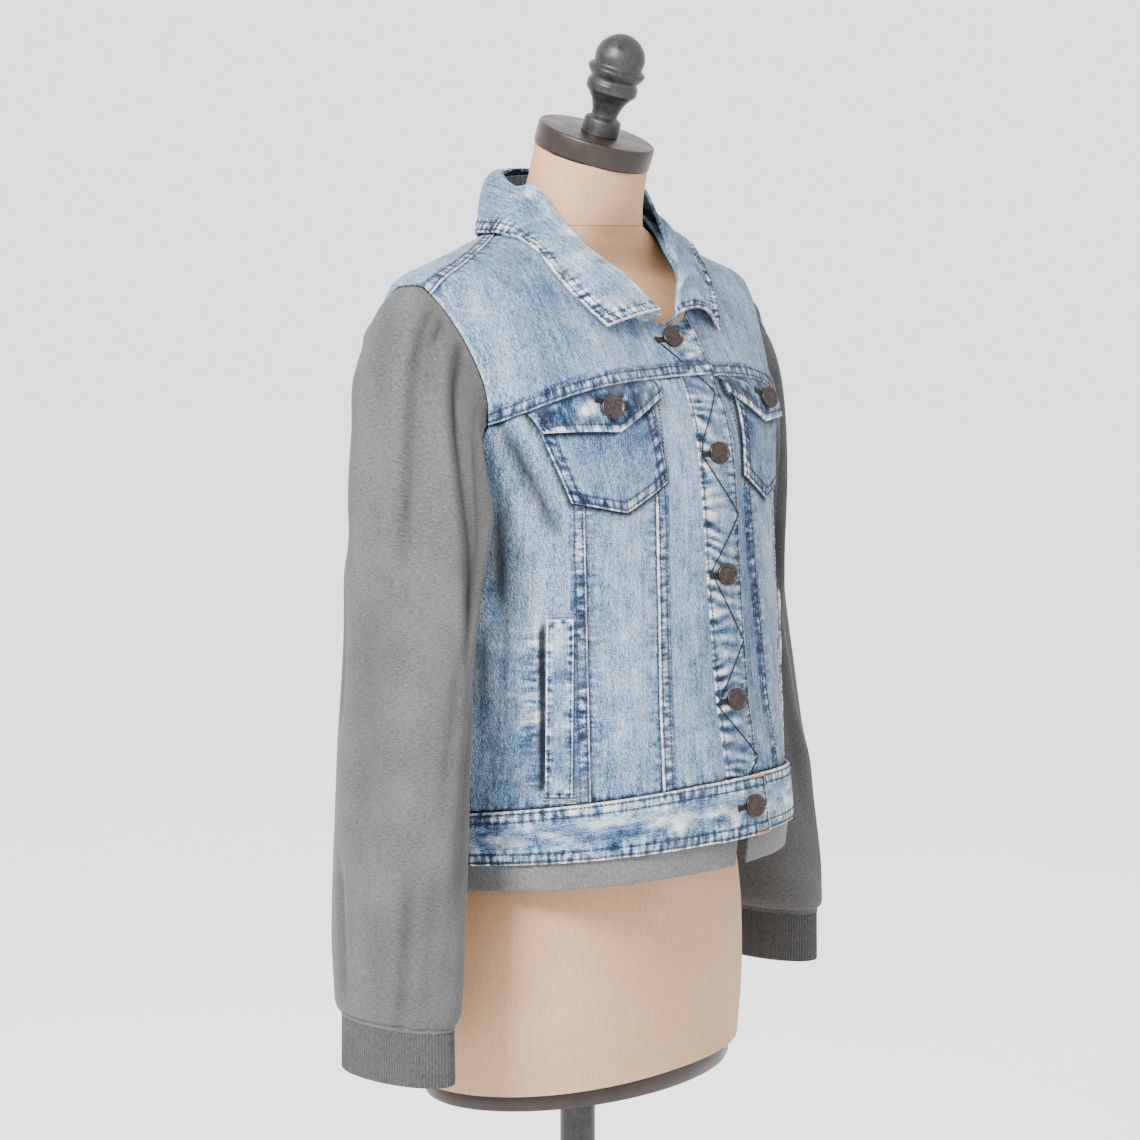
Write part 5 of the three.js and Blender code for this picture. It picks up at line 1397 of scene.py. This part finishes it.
def build_welt(side):
    name = "right" if side < 0 else "left"

    def place(s, t):
        return body_point(side * mix(WELT["inner"], WELT["outer"], s), mix(WELT["low"], WELT["top"], t))
    s, t = spread(22, 1.6), spread(131, 1.9)
    welt = Cloth(f"welt_{name}", place, s, t, body_axis, DENIM + GAP + FACET_ROOM, FOLDED_DENIM)
    seed = 181 + side
    mottle = noise(welt.u / 12, welt.v / 10, seed)
    welt.add(0.3 * mottle, 0.55 * mottle - 0.05)
    for edge in ("left", "right"):
        turned_edge(welt, edge, welt.v, seed + 1, stitch=1.8, gather=0.15, white=1.0, deep=4)
    for edge in ("low", "high"):
        turned_edge(welt, edge, welt.u, seed + 2, stitch=2.0, gather=0.1, white=0.6, deep=4)
    sew(welt, "left", 1.9, "navy", trim=(2, 2), radius=0.25)
    welt.build_denim(f"cloth.front_side_{name}")
    for z in (WELT["low"] - 3.5, WELT["top"] + 3.5):
        angle = np.linspace(WELT["inner"] - 1.0, WELT["outer"] + 2.2, 20)
        for shift in (-1.4, 1.4):
            points = body_point(side * angle, z + shift) + body_normal(side * angle, z) * (DENIM + 0.25)
            tack(points, body_normal(side * angle, z), 0.9, "pale", 0.26)


# Buttons and buttonholes
def lathe(name, profile, segments, matrix, material, node):
    """A solid turned from a profile of radii and heights."""
    profile = np.array(profile, float)
    angle = np.linspace(0, 2 * math.pi, segments, endpoint=False)
    radius, height = profile[profile[:, 0] > 0].T[..., None]
    rings = vector(radius * np.cos(angle), radius * np.sin(angle), height)
    points = np.vstack([rings.reshape(-1, 3), [[0, 0, profile[0][1]], [0, 0, profile[-1][1]]]])
    points = np.array([matrix @ Vector(p) for p in points])
    closed_solid(name, points[:-2].reshape(-1, segments, 3), points[-2:], material, node)


def build_button(node, spot, lift, normal):
    """A shank button: stem, rolled rim, shallow dish and a low plain dome in the middle."""
    r, h = BUTTON["radius"], BUTTON["high"]
    profile = [(0, 0), (BUTTON["shank"], 0), (BUTTON["shank"], h * 0.4)]
    profile += [(r - 1.5, h * 0.45), (r - 0.4, h * 0.52)]
    rim = np.radians(np.linspace(-60, 150, 9))
    profile += [(r - 0.9 + 0.9 * math.cos(a), h - 0.9 + 0.9 * math.sin(a)) for a in rim]
    profile += [(r - 2.2, h - 0.75), (r - 2.9, h - 0.55), (r - 3.4, h - 0.75), (r - 4.2, h - 0.7)]
    profile += [(r - 5.6, h - 0.45), (r - 7.2, h - 0.25), (0.4, h - 0.2), (0, h - 0.2)]
    lean = Matrix.Rotation(math.radians(BUTTON_LEAN), 4, "Z")
    turn = Vector((0, 0, 1)).rotation_difference(lean @ Vector(normal)).to_matrix().to_4x4()
    place = Matrix.Translation(Vector(spot + normal * lift)) @ turn
    lathe("metal." + node, profile, 40, place, BUTTON_LOOK, node)


def buttonhole(surface, angle, lift, first, last):
    """A worked slit between two places given in degrees and millimetres from the button."""
    share = np.linspace(0, 1, 30)
    u, v = mix(first[0], last[0], share), mix(first[1], last[1], share)
    points = surface(u, v)
    normals = body_normal(angle + u, points[:, 2])
    across = unit(np.cross(normals, np.gradient(points, axis=0)))
    tack(points + normals * lift + across * 1.1, normals, 2.3, "navy", 0.5)
    tack(points + normals * lift - across * 1.1, normals, 2.3, "navy", 0.5)
    tack(points[:5] + normals[:5] * lift, normals[:5], 5.6, "navy", 0.65)


def on_front(x, z, lift):
    angle = angle_of_x(x, z)
    normal = body_normal(angle, z)
    return body_point(angle, z) + normal * lift, normal


def build_front_buttons():
    for i, z in enumerate(BUTTON_HEIGHTS):
        x = TOP_BUTTON_X if i == 0 else BUTTON_X
        lift = LAP + FOLDED_DENIM
        if z < band_height(BAND_TOP, 0):
            lift = BAND_LIFT + 2 * WAISTBAND + GAP + FACET_ROOM
        if z > YOKE_FRONT["centre"]:
            lift = LAP + DENIM
        angle = angle_of_x(x, z)
        normal = body_normal(angle, z)
        build_button(f"front_button_{i + 1}", body_point(angle, z), lift + GAP + 0.1, normal)
        far = float(angle_of_x(x - 17.5, z) - angle)
        buttonhole(lambda u, v: body_point(angle + u, z + v), float(angle), lift + 0.4, (far, 0), (0.5, 0))


# The slanting line of thread that runs from buttonhole to buttonhole down the placket
ZIGZAG = [
    (-24, 1337), (10, 1307), (14, 1304), (22, 1296), (-7, 1262), (-10, 1251), (31, 1205), (-8, 1164),
    (27, 1109), (-12, 1063), (30, 1020), (12, 1006),
]


def build_zigzag():
    corners = np.array(ZIGZAG, float)
    for (x0, z0), (x1, z1) in zip(corners[:-1], corners[1:]):
        share = np.linspace(0, 1, 24)
        x, z = mix(x0, x1, share), mix(z0, z1, share)
        lift = LAP + np.where(z > YOKE_FRONT["centre"], DENIM + 0.6, FOLDED_DENIM + 0.35)
        points, normals = on_front(x, z, lift[:, None])
        stitch("navy", points, normals, pitch=2.3, length=2.6, radius=0.6)


# Sleeves and cuffs
def armhole_loop():
    steps, top = 24, 88
    front_up = yoke_low_up(YOKE_FRONT, armhole_x(FRONT_ARM_UP), False)
    back_up = yoke_low_up(YOKE_BACK, armhole_x(BACK_ARM_UP), True)
    share = np.arange(steps) / steps
    up = mix(top, front_up, share)
    over_front = shoulder_point(armhole_x(up) + HALF_GAP, up)
    angle = mix(FRONT_MEET, BACK_MEET, np.arange(2 * steps) / (2 * steps))
    under = body_point(angle, lower_top(angle) + HALF_GAP)
    up = mix(back_up, top, share)
    over_back = shoulder_point(armhole_x(up) + HALF_GAP, up)
    return np.vstack([over_front, under, over_back, over_front[:1]])


ARMHOLE_LOOP = armhole_loop()
ARMHOLE_GONE = lengths_along(ARMHOLE_LOOP)


def armhole_point(around):
    return read_line((around % 1) * ARMHOLE_GONE[-1], ARMHOLE_GONE, ARMHOLE_LOOP)


def sleeve_ring(table, side, turn, z):
    upward = {name: values[::-1] for name, values in table.items()}
    ring = read(upward, "z", z)
    a = np.radians(turn)
    return vector(ring["x"] + side * ring["half_x"] * np.cos(a), ring["y"] - ring["half_y"] * np.sin(a), z)


def sleeve_place(table, side):
    top_z, low_z = table["z"][0], table["z"][-1]
    blouse_z = table["z"][4] - BLOUSE_START

    def place(s, t):
        turn = 360 * s
        end_share = np.clip((t - BODY_SHARE) / (1 - BODY_SHARE), 0, 1) ** BLOUSE_CURVE
        z = np.where(t > BODY_SHARE, mix(blouse_z, low_z, end_share),
                     mix(top_z, blouse_z, (t - HEAD_SHARE) / (BODY_SHARE - HEAD_SHARE)))
        tube = sleeve_ring(table, side, turn, np.minimum(z, top_z))
        start = armhole_point(s) * (side, 1, 1)
        inward = np.array(ARM_MIDDLE) * (side, 1, 1) - start
        inward[..., 0] = 0
        start = start + unit(inward) * (JERSEY + ARMHOLE_ROOM)
        end = sleeve_ring(table, side, turn, top_z + 0 * turn)
        slope = HEAD_SLOPE["under"] + HEAD_SLOPE["rise"] * (1 + np.cos(np.radians(turn))) / 2
        outward = unit(vector(side, 0, slope))
        reach = np.linalg.norm(end - start, axis=-1, keepdims=True) * HEAD_REACH
        c1 = start + outward * np.minimum(reach * HEAD_OUT, HEAD_MOST)
        c2 = end + reach * np.array([0, 0, 1])
        k = np.clip(t / HEAD_SHARE, 0, 1)[..., None]
        head = (1 - k) ** 3 * start + 3 * (1 - k) ** 2 * k * c1 + 3 * (1 - k) * k * k * c2 + k ** 3 * end
        return np.where((t > HEAD_SHARE)[..., None], tube, head)
    return place


def sleeve_fold(s, z, side):
    """The height of the folds in a sleeve, and the shade in the narrow ones."""
    lift, shade = 0, 0
    shift = LEFT_FOLD_TURN if side > 0 else 0
    for fold in SLEEVE_FOLDS + SLEEVE_CREASES:
        t = (fold["high"] - z) / (fold["high"] - fold["low"])
        along = fold_share(t, 0.2, 0.4)
        away = np.radians(wrap(360 * s - mix(fold["start"], fold["end"], t) - shift)) * SLEEVE_RADIUS
        lift = lift + fold["rise"] * along * peak(away, fold["wide"])
        if fold["rise"] < 0 and fold["wide"] < NARROW_FOLD:
            spot = peak(away, SLEEVE_SHADE["wide"] * fold["wide"])
            shade = shade - SLEEVE_SHADE["depth"] * fold["rise"] * along * spot
    return lift, np.clip(shade, 0, SLEEVE_SHADE["most"])


def build_sleeves():
    for side, name, table in ((-1, "right", SLEEVE_RIGHT), (1, "left", SLEEVE_LEFT)):
        place = sleeve_place(table, side)
        s = np.linspace(0, 1, SLEEVE_COLUMNS)
        t = np.concatenate([np.linspace(*part)[:-1] for part in SLEEVE_ROWS] + [[1.0]])
        shares = np.meshgrid(s, t)
        grid = place(*shares)

        def middle(p):
            high = p[..., 2:] > 1200
            tube = vector(table["x"][3], table["y"][3], p[..., 2])
            return np.where(high, vector(side * 190, 0, 1290), tube)
        ends = smooth(shares[1] / 0.05) * smooth((1 - shares[1]) / 0.03)
        fold, shade = sleeve_fold(shares[0], grid[..., 2], side)
        sleeve = Cloth(f"sleeve_{name}", place, s, t, middle, fold * ends, JERSEY, around=True)
        sleeve.shade = shade * ends
        z = sleeve.form[..., 2]
        soft = noise(6 * sleeve.s, z / 60, 191 + side) * 0.5
        sleeve.add(soft * smooth(sleeve.t / 0.1) * smooth((1 - sleeve.t) / 0.1) * 0.6)
        level = np.broadcast_to(sleeve.v.mean(1, keepdims=True), sleeve.v.shape)
        sleeve.flat = np.stack([sleeve.s * SLEEVE_ROUND, level], -1)
        sleeve.build(SLEEVE_LOOK)
        last = {key: value[-1] for key, value in table.items()}

        def cuff_place(s, t):
            a = np.radians(360 * s)
            half_x, half_y = last["half_x"] - 1 + CUFF_FLARE * t, last["half_y"] - 1 + CUFF_FLARE * t
            return vector(last["x"] + side * half_x * np.cos(a), last["y"] - half_y * np.sin(a),
                          last["z"] - GAP - t * CUFF_DEEP)

        def cuff_middle(p):
            return vector(last["x"], last["y"], p[..., 2])
        around = 2 * math.pi * math.sqrt((last["half_x"] ** 2 + last["half_y"] ** 2) / 2)
        ribs = round(around / RIB_PITCH)
        s, t = np.linspace(0, 1, 5 * ribs + 1), spread(CUFF_DEEP, 3.0)
        cuff = Cloth(f"cuff_{name}", cuff_place, s, t, cuff_middle, 0.0, RIB, around=True)
        ribbing = np.cos(2 * math.pi * ribs * cuff.u / cuff.u[:, -1:])
        cuff.add(RIB_HIGH * ribbing - 0.4 * (1 - smooth(cuff.high / 1.2)))
        # Painted shade in the hollows between the ribs
        cuff.shade = RIB_SHADE * (1 - ribbing) / 2
        cuff.build(RIB_LOOK)


# Collar
def half(s):
    return np.where(s < 0.5, -1.0, 1.0), 1 - np.abs(1 - 2 * s)


def roll_point(s):
    side, at = half(s)
    row = read(ROLL_LINE, "at", at)
    point = vector(side * row["x"], row["y"], row["z"])
    for end, own in ((ROLL_END_RIGHT, side < 0), (ROLL_END_LEFT, side > 0)):
        pull = np.where(own, smooth(1 - at / end["fade"]), 0)
        point = point + pull[..., None] * np.array(end["move"], float)
    return point


def stand_foot(s):
    side, at = half(s)
    start = np.where(side > 0, LEFT_FOOT_ANGLE, NECK_FRONT_ANGLE)
    angle = side * mix(start, 180, at ** 0.95)
    drop = FOOT_DROP * smooth(1 - at / ROLL_END_RIGHT["fade"])
    z = read(NECK_SEAM, "angle", np.abs(angle))["z"] + STAND_ROOM - drop
    point = ring_point(BODY_RINGS, angle, z)
    lift = DENIM / 2 + lap_lift(point[..., 0])
    return point + body_normal(angle, z) * lift[..., None]


def clear_of_body(point, distance):
    reach = np.hypot(point[..., 1], point[..., 2] - RAY_Z)
    surface = shoulder_point(point[..., 0], up_of(point))
    least = np.hypot(surface[..., 1], surface[..., 2] - RAY_Z) + distance + lap_lift(point[..., 0])
    scale = np.maximum(least / reach, 1)
    return vector(point[..., 0], point[..., 1] * scale, RAY_Z + (point[..., 2] - RAY_Z) * scale)


def build_collar():
    def axis(p):
        return vector(0, 0, p[..., 2] - 20)

    def stand_place(s, t):
        low, high = stand_foot(s), roll_point(s)
        middle = (low + high) / 2 + (0, 0, 1.5)
        k = t[..., None]
        return (1 - k) ** 2 * low + 2 * (1 - k) * k * middle + k * k * high
    s, t = spread(420, 3.2), spread(34, 2.2)
    stand = Cloth("collar_stand", stand_place, s, t, axis, -STAND_THICK / 2, STAND_THICK)
    stand.add(0.3 * noise(stand.u / 20, stand.v / 20, 201), 0.3 * noise(stand.u / 9, stand.v / 9, 202))
    stand.build_denim("cloth.back_yoke")

    def leaf_place(s, t):
        side, at = half(s)
        start = roll_point(s) + (0, 0, LEAF_THICK / 2 + ROLL_ROOM)
        row = read(LEAF_EDGE, "at", at)
        pull = np.where(side > 0, smooth(1 - at / LEFT_POINT["fade"]), 0)[..., None]
        end = vector(side * row["x"], row["y"], row["z"] + LEAF_THICK) + pull * np.array(LEFT_POINT["move"])
        outward = (end - start) * (1, 1, 0)
        reach = np.linalg.norm(end - start, axis=-1, keepdims=True) * 0.4
        outward = unit(outward)
        c1 = start + outward * reach + (0, 0, LEAF_CROWN)
        c2 = mix(end, start, 0.35) + reach * 0.35 * np.array([0, 0, 1]) + outward * 3
        front = np.where(side < 0, smooth(1 - at / FRONT_FLAT), 0)[..., None]
        c1 = mix(c1, mix(start, end, 0.33) + (0, -1, 1.5), front)
        c2 = mix(c2, mix(start, end, 0.67) + (0, -1, 1.5), front)
        curl = np.where(side > 0, smooth(1 - at / FRONT_FLAT), 0)[..., None]
        c1, c2 = c1 + curl * (0, -2, 3), c2 + curl * (0, -3, 8)
        k = t[..., None]
        point = (1 - k) ** 3 * start + 3 * (1 - k) ** 2 * k * c1 + 3 * (1 - k) * k * k * c2 + k ** 3 * end
        return clear_of_body(point, DENIM + GAP + FACET_ROOM + LEAF_THICK / 2)
    s, t = spread(520, 1.9), spread(62, 1.6)
    leaf = Cloth("collar_leaf", leaf_place, s, t, axis, -LEAF_THICK / 2, LEAF_THICK)
    for edge, run, seed in (("high", leaf.u, 211), ("left", leaf.v, 213), ("right", leaf.v, 215)):
        turned_edge(leaf, edge, run, seed, stitch=STITCH_NEAR, gather=0.95, deep=9)
        second = getattr(leaf, edge) - STITCH_FAR
        leaf.gathered(edge, 1.6 * peak(getattr(leaf, edge) - 4.5, 6.5))
        leaf.add(-0.35 * peak(second, 0.9), -0.4 * peak(second, 1.0))
        sew(leaf, edge, STITCH_NEAR, "rust", trim=(2, 2))
        sew(leaf, edge, STITCH_FAR, "grey", trim=(STITCH_FAR, STITCH_FAR))
    wrinkle = noise(leaf.u / 9, leaf.v / 34, 217)
    leaf.add(0.6 * wrinkle * smooth(leaf.v / 10), 0.5 * wrinkle - 0.1)
    leaf.add(wear=0.4 * peak(leaf.low - 3, 5))
    leaf.lengthwise = True
    leaf.build_denim("cloth.collar_stand")


# Dress form and stand
def stack(name, rings, material, node):
    rings = np.asarray(rings)
    closed_solid(name, rings, [rings[0].mean(0), rings[-1].mean(0)], material, node)


def build_form():
    angle = np.linspace(0, 360, 96, endpoint=False)
    heights = np.linspace(FORM_RINGS["z"][0], FORM_RINGS["z"][-1], 150)
    rings = [ring_point(FORM_RINGS, angle, z) for z in heights]
    stack("body_of_form", rings, LINEN_LOOK, "form_body")
    tilt = Matrix.Rotation(math.radians(CAP["tilt"]), 4, "X")
    cap_place = Matrix.Translation((0, CAP["y"], CAP["z"])) @ tilt @ Matrix.Translation((0, 0, -CAP["thick"]))
    s, c = np.sin(np.radians(angle)), np.cos(np.radians(angle))
    rings = []
    for up in np.linspace(0, NECK_RINGS["up"][-1], 40):
        row = read(NECK_RINGS, "up", np.array(up))
        share = np.interp(up, NECK_RINGS["up"], np.arange(4) / 3)
        depth = np.where(c >= 0, row["front"], row["back"])
        level = vector(row["side"] * s, row["y"] - depth * c, NECK_START + up)
        flat = [cap_place @ Vector((x, y, -GAP)) for x, y in zip(row["side"] * s, -depth * c)]
        rings.append(mix(level, np.array(flat), share ** 1.5))
    stack("neck_of_form", rings, LINEN_LOOK, "form_neck")
    r, h, e = CAP["radius"], CAP["thick"], CAP["edge"]
    turn = np.radians(np.linspace(0, 90, 6))
    profile = [(0, 0), (r - e, 0)] + [(r - e + e * math.sin(a), e - e * math.cos(a)) for a in turn[1:]]
    profile += [(r - e + e * math.cos(a), h - e + e * math.sin(a)) for a in turn] + [(0, h)]
    lathe("cap_of_form", profile, 96, cap_place, CAP_LOOK, "neck_cap")
    up, radius = np.array(FINIAL, float).T
    line = {"up": up, "radius": radius}
    fine = np.linspace(0, up[-1], 90)
    profile = [(0, 0)] + [(float(read(line, "up", u)["radius"]), u) for u in fine[:-1]] + [(0, up[-1])]
    place = Matrix.Translation((0, CAP["y"], CAP["z"])) @ tilt @ Matrix.Translation((0, -FINIAL_FORWARD, GAP))
    lathe("finial_of_form", profile, 64, place, IRON_LOOK, "finial")


def build_stand():
    low = FORM_RINGS["z"][0]
    angle = np.radians(np.linspace(0, 360, 96, endpoint=False))
    rings = []
    for inset, drop in ((3, 0), (1, 0.5), (0, 2.5), (0, 11.5), (1, 13.5), (3, 14)):
        rx, ry = HIP_PLATE["radius_x"] - inset, HIP_PLATE["radius_y"] - inset
        z = low - GAP - HIP_PLATE["thick"] + drop
        rings.append(vector(rx * np.sin(angle), HIP_PLATE["y"] - ry * np.cos(angle), z))
    stack("plate_of_form", rings, CAP_LOOK, "hip_plate")
    start = BASE["hub_high"] + GAP
    end = low - GAP - HIP_PLATE["thick"] - COLLAR_RING["high"] - 2 * GAP
    r = POLE_RADIUS
    profile = [(0, start), (r - 1, start), (r, start + 1), (r, end - 1), (r - 1, end), (0, end)]
    lathe("pole_of_stand", profile, 48, Matrix.Identity(4), IRON_LOOK, "pole")
    r, h = COLLAR_RING["radius"], COLLAR_RING["high"]
    z = end + GAP
    profile = [(0, z), (r * 0.8 - 1, z), (r * 0.8, z + 1), (r * 0.86, z + 6)]
    profile += [(r * 0.98, z + h - 6), (r, z + h - 2), (r - 1.5, z + h), (0, z + h)]
    lathe("collar_of_stand", profile, 64, Matrix.Identity(4), IRON_LOOK, "pole_collar")
    r, rim, middle, hub, high = (BASE[key] for key in ("radius", "rim", "middle", "hub", "hub_high"))
    profile = [(0, 0), (r - 1, 0), (r, 1), (r, rim), (r - 2, rim + 2)]
    profile += [(mix(r - 6, hub + 24, k), mix(rim + 3, middle, k ** 1.6)) for k in np.linspace(0, 1, 14)]
    profile += [(hub + 8, middle + 1), (hub, middle + 3), (hub - 3, middle + 8)]
    profile += [(hub - 7, high - 2), (hub - 9, high), (0, high)]
    lathe("base_of_stand", profile, 128, Matrix.Identity(4), IRON_LOOK, "base")


# Floor, light and camera
FLOOR_RADIUS = 24
FLOOR_COLOURS = ((0, (0.80, 0.80, 0.80, 1)), (1, (0.83, 0.83, 0.83, 1)))
FLOOR_GLOW = dict(colour=(0.9, 0.9, 0.91, 1), strength=0.42)
BACKDROP = dict(colour=(0.90, 0.90, 0.905, 1), strength=2.4)
# Name, place in metres, size in metres and power in watts
LAMPS = (
    ("key", (-2.9, -0.6, 3.1), 0.9, 420),
    ("fill", (-0.4, -3.2, 2.2), 2.2, 14),
    ("rim", (1.4, 2.4, 2.6), 2.0, 12),
)
LAMP_AIM = (0, 0, 1.15)
CAMERA = dict(distance=2340, azimuth=-50, height=1410, yaw=0.15, pitch=6.2, focal=3000, frame=1140, sensor=36)


def build_stage():
    below = (0, 0, -0.0005)
    bpy.ops.mesh.primitive_circle_add(vertices=96, radius=FLOOR_RADIUS, fill_type="NGON", location=below)
    floor = bpy.context.object
    floor.name = "floor"
    m = Surface("studio_floor", Roughness=0.95)
    m.colour(m.ramp(m.math("ADD", m.space_noise(3), 0.5), *FLOOR_COLOURS))
    m.shader.inputs["Emission Color"].default_value = FLOOR_GLOW["colour"]
    m.shader.inputs["Emission Strength"].default_value = FLOOR_GLOW["strength"]
    floor.data.materials.append(m.material)
    world = bpy.data.worlds.new("studio")
    world.use_nodes = True
    backdrop = world.node_tree.nodes["Background"].inputs
    backdrop["Color"].default_value = BACKDROP["colour"]
    backdrop["Strength"].default_value = BACKDROP["strength"]
    bpy.context.scene.world = world
    for name, place, size, power in LAMPS:
        lamp = bpy.data.lights.new(name, "AREA")
        lamp.size, lamp.energy = size, power
        thing = bpy.data.objects.new(name, lamp)
        thing.location = place
        thing.rotation_euler = (Vector(LAMP_AIM) - Vector(place)).to_track_quat("-Z", "Y").to_euler()
        bpy.context.scene.collection.objects.link(thing)


def build_camera():
    c = CAMERA
    data = bpy.data.cameras.new("camera")
    data.sensor_width = c["sensor"]
    data.lens = c["sensor"] * c["focal"] / c["frame"]
    data.clip_end = 100
    camera = bpy.data.objects.new("camera", data)
    a, heading, pitch = (math.radians(v) for v in (c["azimuth"], c["azimuth"] + c["yaw"], c["pitch"]))
    camera.location = Vector((math.sin(a) * c["distance"], -math.cos(a) * c["distance"], c["height"])) * MM
    level = math.cos(pitch)
    forward = Vector((-math.sin(heading) * level, math.cos(heading) * level, -math.sin(pitch)))
    camera.rotation_euler = forward.to_track_quat("-Z", "Y").to_euler()
    bpy.context.scene.collection.objects.link(camera)
    bpy.context.scene.camera = camera


build_stage()
build_camera()
build_form()
build_stand()
build_bands()
build_lower_panels()
build_yokes()
for wearer_side in (-1, 1):
    build_chest_pocket(wearer_side)
    build_welt(wearer_side)
build_front_buttons()
build_zigzag()
build_sleeves()
build_collar()
build_threads(THREAD_LOOKS)
